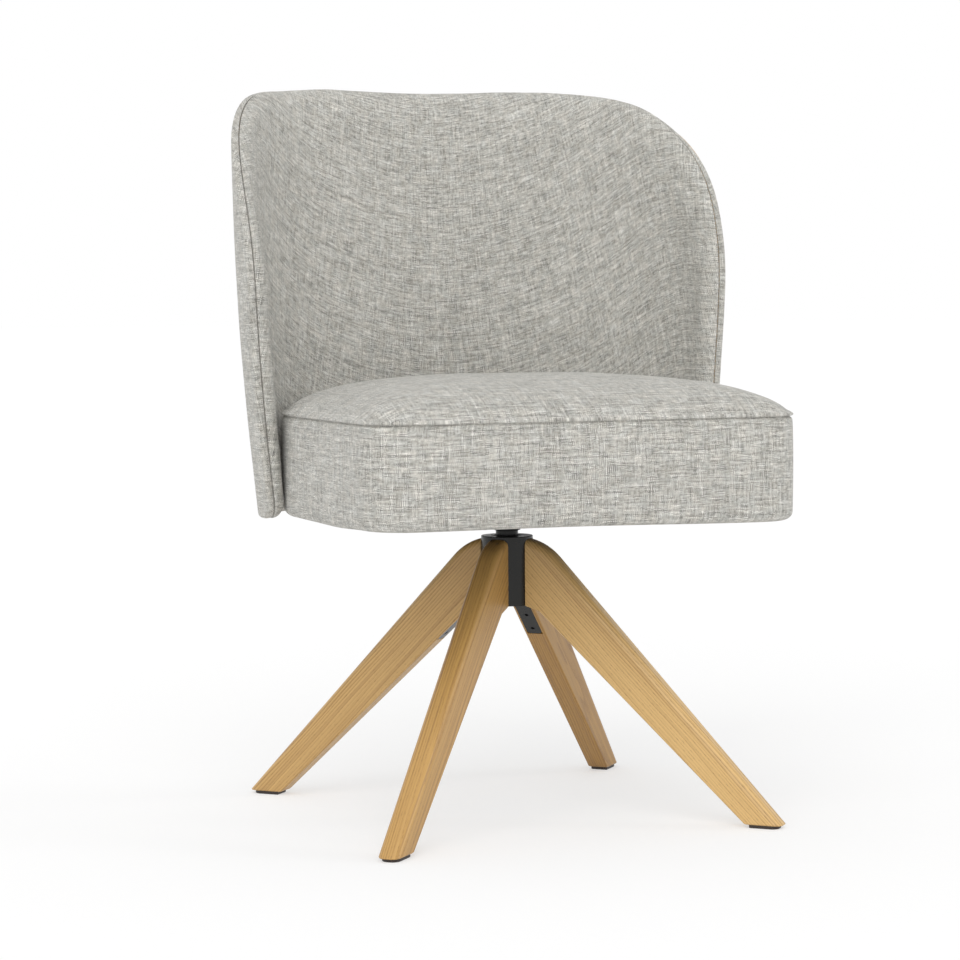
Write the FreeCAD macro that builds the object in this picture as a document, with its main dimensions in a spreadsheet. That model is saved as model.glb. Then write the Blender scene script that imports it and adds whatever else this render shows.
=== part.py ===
import FreeCAD, Part
import math
import os

import Sketcher
from FreeCAD import Placement, Rotation, Vector

# Swivel dining chair. The origin is on the floor under the swivel axis and +Z is up.
# The chair faces -Y. The four legs stand on the diagonals.
# Every length is in millimetres and every height is measured from the floor.

DIMENSIONS = {
    # hub column
    "hub_radius": 30.0,
    "hub_bottom": 241.0,
    "hub_top": 321.0,
    "hub_disc_thickness": 3.0,
    "hub_edge_round": 0.8,
    "window_width": 26.4,
    "window_round": 8.0,
    "window_floor_radius": 27.5,
    "mortise_inner_radius": 19.2,
    "mortise_inner_width": 19.2,
    "mortise_neck_width": 14.3,
    "mortise_overrun": 0.5,
    "mortise_play": 0.2,
    "upper_bore_radius": 15.0,
    "lower_bore_radius": 12.0,
    "bore_step_height": 290.0,
    "flange_recess_radius": 18.0,
    "flange_thickness": 2.0,
    "hub_counterbore_radius": 16.0,
    "hub_counterbore_top": 248.0,
    # legs
    "leg_width": 26.0,
    "leg_shoulder_radius": 27.7,
    "leg_top_height": 317.8,
    "leg_knee_radius": 69.6,
    "leg_knee_height": 297.0,
    "leg_knee_reach": 64.6,
    "leg_bend_reach": 43.4,
    "leg_bend_height": 235.7,
    "foot_inner_reach": 291.6,
    "foot_outer_reach": 335.2,
    "leg_outer_round": 8.5,
    "leg_inner_round": 2.2,
    "foot_bevel": 1.2,
    "tenon_inner_radius": 19.4,
    "tenon_inner_width": 18.8,
    "tenon_neck_width": 13.9,
    "tenon_top": 314.2,
    # spider plate under the hub
    "spider_thickness": 3.0,
    "spider_ring_radius": 27.0,
    "spider_hole_radius": 17.0,
    "spider_arm_width": 19.0,
    "spider_arm_reach": 85.0,
    "spider_arm_round": 5.0,
    "spider_play": 0.1,
    "spider_recess_radius": 29.2,
    # screws
    "leg_screw_first_reach": 58.5,
    "leg_screw_second_reach": 77.5,
    "screw_head_radius": 4.4,
    "screw_head_depth": 2.4,
    "screw_shank_radius": 2.2,
    "leg_screw_length": 22.0,
    "hub_screw_circle_radius": 22.0,
    "hub_screw_length": 16.0,
    # glides
    "glide_thickness": 4.0,
    "glide_width": 21.0,
    "glide_inner_reach": 296.5,
    "glide_outer_reach": 330.0,
    "glide_round": 9.0,
    "glide_edge": 0.8,
    "glide_screw_reach": 313.0,
    "glide_screw_recess": 1.4,
    "glide_screw_length": 18.0,
    # swivel bearing and spindle
    "spindle_radius": 13.0,
    "journal_radius": 10.0,
    "running_play": 0.05,
    "thrust_washer_inner_play": 0.5,
    "thrust_washer_outer_play": 0.2,
    "keeper_play": 0.3,
    "spindle_bevel": 0.8,
    "collar_bevel": 1.0,
    "spindle_shoulder": 292.0,
    "spindle_bottom": 242.4,
    "collar_radius": 15.7,
    "collar_bottom": 326.5,
    "upper_bush_bottom": 295.0,
    "lower_bush_top": 266.0,
    "washer_radius": 14.0,
    "washer_thickness": 1.2,
    "ring_radius": 13.0,
    "ring_thickness": 1.2,
    "ring_groove_radius": 9.2,
    # seat plate
    "plate_bottom": 347.0,
    "plate_thickness": 4.0,
    "plate_width": 170.0,
    "plate_round": 22.0,
    "plate_bolt_offset": 62.0,
    "plate_bolt_radius": 4.0,
    "plate_bolt_flats": 13.0,
    "plate_bolt_head": 5.3,
    "plate_bolt_length": 18.0,
    # seat
    "seat_half_width": 253.5,
    "seat_front": 259.0,
    "seat_rear": 180.0,
    "seat_front_round": 46.0,
    "seat_rear_arc": 600.0,
    "seat_side_end": 35.0,
    "seat_bottom": 351.0,
    "seat_seam_height": 463.0,
    "seat_crown_height": 508.0,
    "seat_bottom_round": 9.0,
    "cover_thickness": 4.0,
    "cover_return_thickness": 1.5,
    "seat_corner_squeeze": 0.12,
    "seat_side_shift": 0.45,
    "dust_cover_inset": 22.0,
    "board_inset": 16.0,
    "board_thickness": 15.0,
    "insert_wall": 1.6,
    "board_insert_length": 13.0,
    "shell_insert_start": 5.2,
    "shell_insert_length": 5.3,
    # back
    "back_bottom": 345.0,
    "back_top": 846.0,
    "back_front": 30.0,
    "back_corner_radius": 245.0,
    "back_lower_round": 24.0,
    "back_rear_arc": 660.0,
    "back_side_end": 50.0,
    "back_cover_thickness": 10.0,
    "back_skin": 2.5,
    "back_total_thickness": 26.0,
    "back_cavity_overrun": 0.5,
    "back_tool_round": 4.0,
    "back_tool_reach": 40.0,
    "back_tool_inner_reach": 90.0,
    "back_tool_far": 400.0,
    "piece_gap": 0.2,
    # brackets between seat board and back shell
    "bracket_thickness": 4.0,
    "bracket_width": 40.0,
    "bracket_turn": 9.0,
    "bracket_front": 96.0,
    "bracket_top": 432.0,
    "bracket_bolt_radius": 3.0,
    "bracket_bolt_flats": 10.0,
    "bracket_bolt_head": 4.0,
    "bracket_clearance": 0.35,
    "bracket_board_bolt_length": 17.0,
    "bracket_shell_bolt_length": 10.5,
    "bracket_board_bolt_first": 112.0,
    "bracket_board_bolt_second": 146.0,
    "bracket_shell_bolt_first": 378.0,
    "bracket_shell_bolt_second": 416.0,
    "bracket_lean": 6.0,
}

# Height, half width and rearmost reach of the back's outer form, from bottom to top.
BACK_SECTIONS = (
    ("low", 330.0, 277.0, 208.0),
    ("seat", 450.0, 289.5, 220.7),
    ("middle", 600.0, 300.0, 236.5),
    ("shoulder", 720.0, 303.5, 249.1),
    ("top", 860.0, 304.0, 263.8),
)

# Height above the seam and inset from the outline for the seat's crowned top.
CROWN_SECTIONS = (
    ("rim", 0.0, 0.0),
    ("roll", 14.0, 13.0),
    ("shoulder", 25.0, 34.0),
    ("slope", 34.0, 68.0),
    ("upper", 41.0, 115.0),
    ("crown", 45.0, 175.0),
)

LEGS = (("front_right", -45.0), ("rear_right", 45.0), ("rear_left", 135.0), ("front_left", -135.0))

doc = FreeCAD.newDocument("swivel_dining_chair")
sheet = doc.addObject("Spreadsheet::Sheet", "Dimensions")
sheet_row = 0


class Size:
    """A length that carries both its value and the sheet formula that gives it."""

    def __init__(self, value, formula=None):
        self.value = float(value)
        self.formula = formula or "{:.6g}".format(float(value))

    def joined(self, other, sign, value):
        return Size(value, "({} {} {})".format(self.formula, sign, other.formula))

    def __add__(self, other):
        other = as_size(other)
        return self.joined(other, "+", self.value + other.value)

    def __radd__(self, other):
        return as_size(other) + self

    def __sub__(self, other):
        other = as_size(other)
        return self.joined(other, "-", self.value - other.value)

    def __rsub__(self, other):
        return as_size(other) - self

    def __mul__(self, other):
        other = as_size(other)
        return self.joined(other, "*", self.value * other.value)

    def __truediv__(self, other):
        other = as_size(other)
        return self.joined(other, "/", self.value / other.value)

    def __neg__(self):
        return Size(-self.value, "(0 - {})".format(self.formula))


def as_size(number):
    """Turn a plain number into a Size."""
    return number if isinstance(number, Size) else Size(number)


def store(alias, value):
    """Write one named number into the sheet and return it as a Size."""
    global sheet_row
    sheet_row += 1
    sheet.set("A{}".format(sheet_row), alias)
    sheet.set("B{}".format(sheet_row), "{:g}".format(value))
    sheet.setAlias("B{}".format(sheet_row), alias)
    return Size(value, "Dimensions." + alias)


size = {alias: store(alias, value) for alias, value in DIMENSIONS.items()}

back_section_sizes = []
for section_name, section_height, section_half_width, section_rear in BACK_SECTIONS:
    back_section_sizes.append((
        section_name,
        store("back_{}_height".format(section_name), section_height),
        store("back_{}_half_width".format(section_name), section_half_width),
        store("back_{}_rear".format(section_name), section_rear),
    ))

crown_section_sizes = []
for section_name, section_rise, section_inset in CROWN_SECTIONS:
    crown_section_sizes.append((
        section_name,
        store("crown_{}_rise".format(section_name), section_rise),
        store("crown_{}_inset".format(section_name), section_inset),
    ))
doc.recompute()


def bind(item, prop, length):
    """Tie one property of an object to the sheet."""
    item.setExpression(prop, as_size(length).formula)


def new_body(label):
    """Start a sub-part body."""
    body = doc.addObject("PartDesign::Body", label)
    body.Label = label
    return body


def new_sketch(body, name, plane, lift=0.0):
    """Attach an empty sketch to one of the body's own origin planes."""
    sketch = body.newObject("Sketcher::SketchObject", name)
    face = [feature for feature in body.Origin.OriginFeatures if feature.Role == plane][0]
    sketch.AttachmentSupport = [(face, "")]
    sketch.MapMode = "FlatFace"
    bind(sketch, "AttachmentOffset.Base.z", lift)
    return sketch


def hold(sketch, kind, geometry, point, length):
    """Fix one coordinate of a sketch point, measured from the sketch origin."""
    length = as_size(length)
    index = sketch.addConstraint(Sketcher.Constraint(kind, -1, 1, geometry, point, length.value))
    bind(sketch, "Constraints[{}]".format(index), length)


def hold_radius(sketch, geometry, radius):
    """Fix the radius of a circle or arc."""
    radius = as_size(radius)
    index = sketch.addConstraint(Sketcher.Constraint("Radius", geometry, radius.value))
    bind(sketch, "Constraints[{}]".format(index), radius)


def polygon(sketch, corners):
    """Draw a closed straight-sided outline with every corner held by the sheet."""
    points = [Vector(as_size(x).value, as_size(y).value, 0) for x, y in corners]
    count = len(points)
    first = sketch.GeometryCount
    for index in range(count):
        sketch.addGeometry(Part.LineSegment(points[index], points[(index + 1) % count]), False)
    for index in range(count):
        sketch.addConstraint(Sketcher.Constraint(
            "Coincident", first + index, 2, first + (index + 1) % count, 1))
    for index, (x, y) in enumerate(corners):
        hold(sketch, "DistanceX", first + index, 1, x)
        hold(sketch, "DistanceY", first + index, 1, y)


def circle(sketch, x, y, radius):
    """Draw a circle held by the sheet."""
    centre = Vector(as_size(x).value, as_size(y).value, 0)
    index = sketch.addGeometry(Part.Circle(centre, Vector(0, 0, 1), as_size(radius).value), False)
    hold(sketch, "DistanceX", index, 3, x)
    hold(sketch, "DistanceY", index, 3, y)
    hold_radius(sketch, index, radius)


def rectangle(sketch, x_low, x_high, y_low, y_high):
    """Draw a rectangle held by the sheet."""
    polygon(sketch, [(x_low, y_low), (x_high, y_low), (x_high, y_high), (x_low, y_high)])


def pad(body, sketch, length, midplane=False, reversed_=False):
    """Extrude a sketch into material."""
    feature = body.newObject("PartDesign::Pad", sketch.Name + "_pad")
    feature.Profile = sketch
    bind(feature, "Length", length)
    feature.Midplane = midplane
    feature.Reversed = reversed_
    return feature


def pocket(body, sketch, length, midplane=False, reversed_=False):
    """Cut a sketch out of the body, and make sure that it removed something."""
    doc.recompute()
    before = body.Shape.Volume
    feature = body.newObject("PartDesign::Pocket", sketch.Name + "_pocket")
    feature.Profile = sketch
    bind(feature, "Length", length)
    feature.Midplane = midplane
    feature.Reversed = reversed_
    doc.recompute()
    if body.Shape.Volume > before - 1e-3:
        raise RuntimeError("pocket {} cuts nothing".format(feature.Name))
    return feature


def around_axis(body, features, count):
    """Repeat features evenly round the body's Z axis."""
    pattern = body.newObject("PartDesign::PolarPattern", features[0].Name + "_pattern")
    pattern.Originals = features
    axis = [feature for feature in body.Origin.OriginFeatures if feature.Role == "Z_Axis"][0]
    pattern.Axis = (axis, [""])
    pattern.Angle = 360
    pattern.Occurrences = count
    body.Tip = pattern
    doc.recompute()
    return pattern


def round_edges(body, radius, wanted):
    """Fillet the edges of the body's tip that the wanted test picks."""
    doc.recompute()
    base = body.Tip
    names = ["Edge{}".format(index + 1)
             for index, edge in enumerate(base.Shape.Edges) if wanted(edge)]
    feature = body.newObject("PartDesign::Fillet", body.Name + "_round_{}".format(len(body.Group)))
    feature.Base = (base, names)
    bind(feature, "Radius", radius)
    doc.recompute()
    return feature


def bevel_edges(body, length, wanted):
    """Chamfer the edges of the body's tip that the wanted test picks."""
    doc.recompute()
    base = body.Tip
    names = ["Edge{}".format(index + 1)
             for index, edge in enumerate(base.Shape.Edges) if wanted(edge)]
    feature = body.newObject("PartDesign::Chamfer", body.Name + "_bevel")
    feature.Base = (base, names)
    bind(feature, "Size", length)
    doc.recompute()
    return feature


def turned(label, corners):
    """Make a turned piece: a straight-sided half section spun about Z."""
    body = new_body(label)
    sketch = new_sketch(body, label + "_section", "XZ_Plane")
    polygon(sketch, corners)
    spin = body.newObject("PartDesign::Revolution", label + "_turn")
    spin.Profile = sketch
    axis = [feature for feature in body.Origin.OriginFeatures if feature.Role == "Z_Axis"][0]
    spin.ReferenceAxis = (axis, [""])
    spin.Angle = 360
    return body


def round_bar(name, radius, length):
    """A plain cylinder standing on its own origin."""
    bar = doc.addObject("Part::Cylinder", name)
    bind(bar, "Radius", radius)
    bind(bar, "Height", length)
    return bar


def fused(name, pieces):
    """Join primitive shapes into one solid."""
    joined = doc.addObject("Part::MultiFuse", name)
    joined.Shapes = pieces
    return joined


def cut(name, base, tool):
    """Take one shape out of another and label the result."""
    result = doc.addObject("Part::Cut", name)
    result.Base = base
    result.Tool = tool
    result.Label = name
    return result


def grouped(label, pieces):
    """Keep identical fasteners together as separate solids."""
    group = doc.addObject("Part::Compound", label)
    group.Links = pieces
    group.Label = label
    return group


def countersunk_screw(name, length, placement):
    """A countersunk screw whose head face lies at its origin and whose shank runs along +Z."""
    head = doc.addObject("Part::Cone", name + "_head")
    bind(head, "Radius1", size["screw_head_radius"])
    bind(head, "Radius2", size["screw_shank_radius"])
    bind(head, "Height", size["screw_head_depth"])
    shank = round_bar(name + "_shank", size["screw_shank_radius"], length)
    screw = fused(name, [head, shank])
    screw.Placement = placement
    return screw


def hex_bolt(name, radius, flats, head, length, placement):
    """A hexagon bolt whose shank runs along +Z from the head's seat at its origin."""
    crown = doc.addObject("Part::Prism", name + "_head")
    crown.Polygon = 6
    bind(crown, "Circumradius", flats / math.sqrt(3.0))
    bind(crown, "Height", head)
    bind(crown, "Placement.Base.z", -head)
    shank = round_bar(name + "_shank", radius, length)
    bolt = fused(name, [crown, shank])
    bolt.Placement = placement
    return bolt


def threaded_insert(name, radius, length, placement):
    """A plain insert nut with a bore for its bolt."""
    barrel = round_bar(name + "_barrel", radius + size["insert_wall"], length)
    bore = round_bar(name + "_bore", radius, length)
    nut = cut(name, barrel, bore)
    nut.Placement = placement
    return nut


def corner_radius(half_width, rear, rear_arc, side_end):
    """Radius of the arc that joins a straight side to the rear arc, touching both."""
    to_centre = side_end - rear + rear_arc
    return (rear_arc ** 2 - half_width ** 2 - to_centre ** 2) / (2.0 * (rear_arc - half_width))


def tub_outline(sketch, half_width, front, rear, front_round, rear_arc, side_end):
    """Outline with a straight front, straight sides and a rear that curves round.

    The order is front line, right front corner, right side, right rear corner, rear arc,
    left rear corner, left side and left front corner.
    """
    w, y0, y1 = half_width.value, -front.value, rear.value
    r0, r2, ys = front_round.value, rear_arc.value, side_end.value
    r1 = corner_radius(w, y1, r2, ys)
    centre_y = y1 - r2
    meet = math.atan2(ys - centre_y, w - r1)

    def arc(cx, cy, radius, start, end):
        base = Part.Circle(Vector(cx, cy, 0), Vector(0, 0, 1), radius)
        return Part.ArcOfCircle(base, start, end)

    up = math.pi / 2
    pieces = [
        Part.LineSegment(Vector(-w + r0, y0, 0), Vector(w - r0, y0, 0)),
        arc(w - r0, y0 + r0, r0, -up, 0.0),
        Part.LineSegment(Vector(w, y0 + r0, 0), Vector(w, ys, 0)),
        arc(w - r1, ys, r1, 0.0, meet),
        arc(0.0, centre_y, r2, meet, math.pi - meet),
        arc(-w + r1, ys, r1, math.pi - meet, math.pi),
        Part.LineSegment(Vector(-w, ys, 0), Vector(-w, y0 + r0, 0)),
        arc(-w + r0, y0 + r0, r0, math.pi, 3 * up),
    ]
    sketch.addGeometry(pieces, False)
    count = len(pieces)
    for index in range(count):
        sketch.addConstraint(Sketcher.Constraint("Tangent", index, 2, (index + 1) % count, 1))
    sketch.addConstraint(Sketcher.Constraint("Horizontal", 0))
    sketch.addConstraint(Sketcher.Constraint("Vertical", 2))
    sketch.addConstraint(Sketcher.Constraint("Vertical", 6))
    hold_radius(sketch, 1, front_round)
    hold_radius(sketch, 7, front_round)
    hold_radius(sketch, 4, rear_arc)
    sketch.addConstraint(Sketcher.Constraint("PointOnObject", 4, 3, -2))
    hold(sketch, "DistanceX", 2, 2, half_width)
    hold(sketch, "DistanceX", 6, 1, -half_width)
    hold(sketch, "DistanceY", 0, 1, -front)
    hold(sketch, "DistanceY", 2, 2, side_end)
    hold(sketch, "DistanceY", 6, 1, side_end)
    hold(sketch, "DistanceY", 4, 3, rear - rear_arc)


def loft(body, sketches, kind):
    """Join outlines at rising heights into one smooth form."""
    feature = body.newObject("PartDesign::{}Loft".format(kind), sketches[0].Name + "_loft")
    feature.Profile = sketches[0]
    feature.Sections = sketches[1:]
    feature.Ruled = False
    feature.Closed = False
    doc.recompute()
    return feature


# hub: a cast column with four windows that the legs slide up into from below
def make_hub():
    """The turned and milled column, before its screw holes are drilled."""
    body = new_body("hub_casting_blank")
    disc = new_sketch(body, "hub_round", "XY_Plane", size["hub_bottom"])
    circle(disc, 0, 0, size["hub_radius"])
    pad(body, disc, size["hub_top"] - size["hub_bottom"])

    half = size["window_width"] / 2
    top = size["hub_top"] - size["hub_disc_thickness"]
    window = new_sketch(body, "hub_window", "YZ_Plane", size["window_floor_radius"])
    round_ = size["window_round"]
    draw_window(window, half, size["hub_bottom"] - 1, top, round_)
    window_cut = pocket(body, window, size["hub_radius"], reversed_=True)

    mortise = new_sketch(body, "hub_mortise", "XY_Plane", size["hub_bottom"])
    inner = size["mortise_inner_width"] / 2
    neck = size["mortise_neck_width"] / 2
    x_in = size["mortise_inner_radius"]
    x_out = size["window_floor_radius"] + size["mortise_overrun"]
    polygon(mortise, [(x_in, -inner), (x_out, -neck), (x_out, neck), (x_in, inner)])
    mortise_top = size["tenon_top"] + size["mortise_play"]
    mortise_cut = pocket(body, mortise, mortise_top - size["hub_bottom"], reversed_=True)
    around_axis(body, [window_cut, mortise_cut], len(LEGS))

    recess = new_sketch(body, "hub_spider_recess", "XY_Plane", size["hub_bottom"])
    circle(recess, 0, 0, size["spider_recess_radius"])
    pocket(body, recess, size["spider_thickness"], reversed_=True)

    upper = new_sketch(body, "hub_upper_bore", "XY_Plane", size["hub_top"])
    circle(upper, 0, 0, size["upper_bore_radius"])
    pocket(body, upper, size["hub_top"] - size["bore_step_height"])
    flange = new_sketch(body, "hub_flange_recess", "XY_Plane", size["hub_top"])
    circle(flange, 0, 0, size["flange_recess_radius"])
    pocket(body, flange, size["flange_thickness"])
    lower = new_sketch(body, "hub_lower_bore", "XY_Plane", size["hub_bottom"])
    circle(lower, 0, 0, size["lower_bore_radius"])
    pocket(body, lower, size["bore_step_height"] - size["hub_bottom"], reversed_=True)
    counter = new_sketch(body, "hub_counterbore", "XY_Plane", size["hub_bottom"])
    circle(counter, 0, 0, size["hub_counterbore_radius"])
    pocket(body, counter, size["hub_counterbore_top"] - size["hub_bottom"], reversed_=True)

    edge = size["hub_top"].value
    radius = size["hub_radius"].value
    round_edges(body, size["hub_edge_round"], lambda e: abs(e.BoundBox.ZMin - edge) < 1e-3
                and abs(e.BoundBox.XMax - radius) < 1e-3)
    body.Placement = Placement(Vector(0, 0, 0), Rotation(Vector(0, 0, 1), 45))
    return body


def draw_window(sketch, half, low, top, radius):
    """Window outline, square below and with two rounded upper corners."""
    h, z0, z1, r = half.value, low.value, top.value, radius.value
    up = math.pi / 2

    def arc(cx, cy, start, end):
        return Part.ArcOfCircle(Part.Circle(Vector(cx, cy, 0), Vector(0, 0, 1), r), start, end)

    pieces = [
        Part.LineSegment(Vector(-h, z0, 0), Vector(h, z0, 0)),
        Part.LineSegment(Vector(h, z0, 0), Vector(h, z1 - r, 0)),
        arc(h - r, z1 - r, 0.0, up),
        Part.LineSegment(Vector(h - r, z1, 0), Vector(-h + r, z1, 0)),
        arc(-h + r, z1 - r, up, 2 * up),
        Part.LineSegment(Vector(-h, z1 - r, 0), Vector(-h, z0, 0)),
    ]
    sketch.addGeometry(pieces, False)
    sketch.addConstraint(Sketcher.Constraint("Coincident", 0, 2, 1, 1))
    for index in range(1, 5):
        sketch.addConstraint(Sketcher.Constraint("Tangent", index, 2, index + 1, 1))
    sketch.addConstraint(Sketcher.Constraint("Coincident", 5, 2, 0, 1))
    sketch.addConstraint(Sketcher.Constraint("Horizontal", 0))
    sketch.addConstraint(Sketcher.Constraint("Horizontal", 3))
    sketch.addConstraint(Sketcher.Constraint("Vertical", 1))
    sketch.addConstraint(Sketcher.Constraint("Vertical", 5))
    hold_radius(sketch, 2, radius)
    hold_radius(sketch, 4, radius)
    hold(sketch, "DistanceX", 0, 2, half)
    hold(sketch, "DistanceX", 0, 1, -half)
    hold(sketch, "DistanceY", 0, 1, low)
    hold(sketch, "DistanceY", 3, 1, top)


def arm_profile(sketch, thickness, start, overlap, extra):
    """Side view of a spider arm: flat, then a shallow run, then down along the leg.

    The lower side follows the underside of the leg, lowered by the overlap. The upper side
    runs parallel to it.
    """
    lower = [
        Vector(start.value, size["hub_bottom"].value - overlap, 0),
        Vector(size["leg_shoulder_radius"].value, size["hub_bottom"].value - overlap, 0),
        Vector(size["leg_bend_reach"].value, size["leg_bend_height"].value - overlap, 0),
    ]
    slope = leg_slope()
    end = size["spider_arm_reach"].value + extra
    drop = (end - size["leg_bend_reach"].value) * slope
    lower.append(Vector(end, size["leg_bend_height"].value - overlap - drop, 0))
    offset = thickness + overlap
    normals = []
    for index in range(3):
        along = (lower[index + 1] - lower[index]).normalize()
        normals.append(Vector(-along.y, along.x, 0))
    upper = [lower[0] + normals[0] * offset]
    for index in range(1, 3):
        middle = (normals[index - 1] + normals[index]).normalize()
        upper.append(lower[index] + middle * (offset / middle.dot(normals[index])))
    upper.append(lower[3] + normals[2] * offset)
    corners = lower + upper[::-1]
    polygon(sketch, [(corner.x, corner.y) for corner in corners])


def leg_slope():
    """Fall of the leg's underside for each unit of reach."""
    rise = size["leg_bend_height"].value - size["glide_thickness"].value
    return rise / (size["foot_inner_reach"].value - size["leg_bend_reach"].value)


def under_leg(reach):
    """Point on the middle of the leg's underside at a given reach."""
    beyond = reach - size["leg_bend_reach"].value
    return Vector(reach, 0, size["leg_bend_height"].value - beyond * leg_slope())


def leg_screw_placement(reach, angle):
    """A screw that stands square to the underside of the leg."""
    lean = math.degrees(math.atan(leg_slope()))
    local = Placement(under_leg(reach), Rotation(Vector(0, 1, 0), lean))
    turn = Placement(Vector(0, 0, 0), Rotation(Vector(0, 0, 1), angle))
    return turn.multiply(local)


# legs: flat-sided oak, rounded outside, with a dovetail tenon at the top
def make_leg(name, angle):
    """One leg drilled for its screws, with the leg screws and the glide screw."""
    label = "leg_" + name
    body = new_body(label + "_blank")
    side = new_sketch(body, label + "_side", "XZ_Plane")
    draw_leg_side(side)
    pad(body, side, size["leg_width"], midplane=True)

    half = size["leg_width"].value / 2
    shoulder = size["leg_shoulder_radius"].value

    def on_side(edge):
        box = edge.BoundBox
        flat = box.YMax - box.YMin < 1e-3
        return flat and abs(abs(box.YMax) - half) < 1e-3

    def is_outer(edge):
        box = edge.BoundBox
        foot = size["foot_outer_reach"].value
        long_slope = abs(box.XMax - foot) < 1e-2 and box.ZMax > 200
        knee = abs(box.XMin - shoulder) < 1e-2 and box.ZMin > 270 and box.XMax > shoulder + 5
        return on_side(edge) and (long_slope or knee)

    def is_inner(edge):
        box = edge.BoundBox
        bend = size["leg_bend_reach"].value
        long_slope = abs(box.XMin - bend) < 1.0 and box.XMax < size["foot_inner_reach"].value + 1
        return on_side(edge) and long_slope and box.ZMin < 10

    def is_foot(edge):
        return edge.BoundBox.ZMax < size["glide_thickness"].value + 1e-3

    round_edges(body, size["leg_outer_round"], is_outer)
    round_edges(body, size["leg_inner_round"], is_inner)
    bevel_edges(body, size["foot_bevel"], is_foot)

    tenon = new_sketch(body, label + "_tenon", "XY_Plane",
                       size["hub_bottom"] + size["spider_thickness"] + size["spider_play"])
    inner = size["tenon_inner_width"] / 2
    neck = size["tenon_neck_width"] / 2
    x_in = size["tenon_inner_radius"]
    x_out = size["leg_shoulder_radius"]
    polygon(tenon, [(x_in, -inner), (x_out, -neck), (x_out + 1, -neck),
                    (x_out + 1, neck), (x_out, neck), (x_in, inner)])
    pad(body, tenon, size["tenon_top"] - size["hub_bottom"] - size["spider_thickness"]
        - size["spider_play"])

    recess = new_sketch(body, label + "_recess", "XZ_Plane")
    arm_profile(recess, size["spider_thickness"].value + size["spider_play"].value,
                size["leg_shoulder_radius"] - 4, 1.0, size["spider_play"].value)
    pocket(body, recess, size["spider_arm_width"] + size["spider_play"] * 4, midplane=True)
    body.Placement = Placement(Vector(0, 0, 0), Rotation(Vector(0, 0, 1), angle))
    screws = []
    for order in ("first", "second"):
        reach = size["leg_screw_{}_reach".format(order)].value
        screws.append(countersunk_screw("{}_{}_screw".format(label, order),
                                        size["leg_screw_length"],
                                        leg_screw_placement(reach, angle)))
    reach = size["glide_screw_reach"].value
    turn = Rotation(Vector(0, 0, 1), angle)
    foot = turn.multVec(Vector(reach, 0, size["glide_screw_recess"].value))
    glide_screw = countersunk_screw(label + "_glide_screw", size["glide_screw_length"],
                                    Placement(foot, turn))
    drilled = cut(label, body, fused(label + "_drill", screws + [glide_screw]))
    return drilled, screws, glide_screw


def draw_leg_side(sketch):
    """Side view of a leg: shoulder, rounded knee, straight outer and inner faces, level foot."""
    low, top = size["hub_bottom"], size["leg_top_height"]
    start = size["leg_shoulder_radius"]
    foot = size["glide_thickness"]
    radius = size["leg_knee_radius"].value
    knee = Vector(size["leg_knee_reach"].value, size["leg_knee_height"].value, 0)
    shoulder = Vector(start.value, top.value, 0)
    middle = (knee + shoulder) * 0.5
    across = (knee - shoulder)
    away = Vector(across.y, -across.x, 0).normalize()
    centre = middle + away * math.sqrt(radius ** 2 - (across.Length / 2) ** 2)
    from_knee = math.atan2(knee.y - centre.y, knee.x - centre.x)
    to_shoulder = math.atan2(shoulder.y - centre.y, shoulder.x - centre.x)
    bend = Vector(size["leg_bend_reach"].value, size["leg_bend_height"].value, 0)
    inner = Vector(size["foot_inner_reach"].value, foot.value, 0)
    outer = Vector(size["foot_outer_reach"].value, foot.value, 0)
    corner = Vector(start.value, low.value, 0)
    pieces = [
        Part.LineSegment(corner, bend),
        Part.LineSegment(bend, inner),
        Part.LineSegment(inner, outer),
        Part.LineSegment(outer, knee),
        Part.ArcOfCircle(Part.Circle(centre, Vector(0, 0, 1), radius), from_knee, to_shoulder),
        Part.LineSegment(shoulder, corner),
    ]
    sketch.addGeometry(pieces, False)
    for index in (0, 1, 2, 4, 5):
        sketch.addConstraint(Sketcher.Constraint("Coincident", index, 2, (index + 1) % 6, 1))
    sketch.addConstraint(Sketcher.Constraint("Tangent", 3, 2, 4, 1))
    hold_radius(sketch, 4, size["leg_knee_radius"])
    for geometry, x, y in ((0, start, low), (1, size["leg_bend_reach"], size["leg_bend_height"]),
                           (2, size["foot_inner_reach"], foot),
                           (3, size["foot_outer_reach"], foot), (5, start, top)):
        hold(sketch, "DistanceX", geometry, 1, x)
        hold(sketch, "DistanceY", geometry, 1, y)
    hold(sketch, "DistanceY", 4, 1, size["leg_knee_height"])


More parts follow.
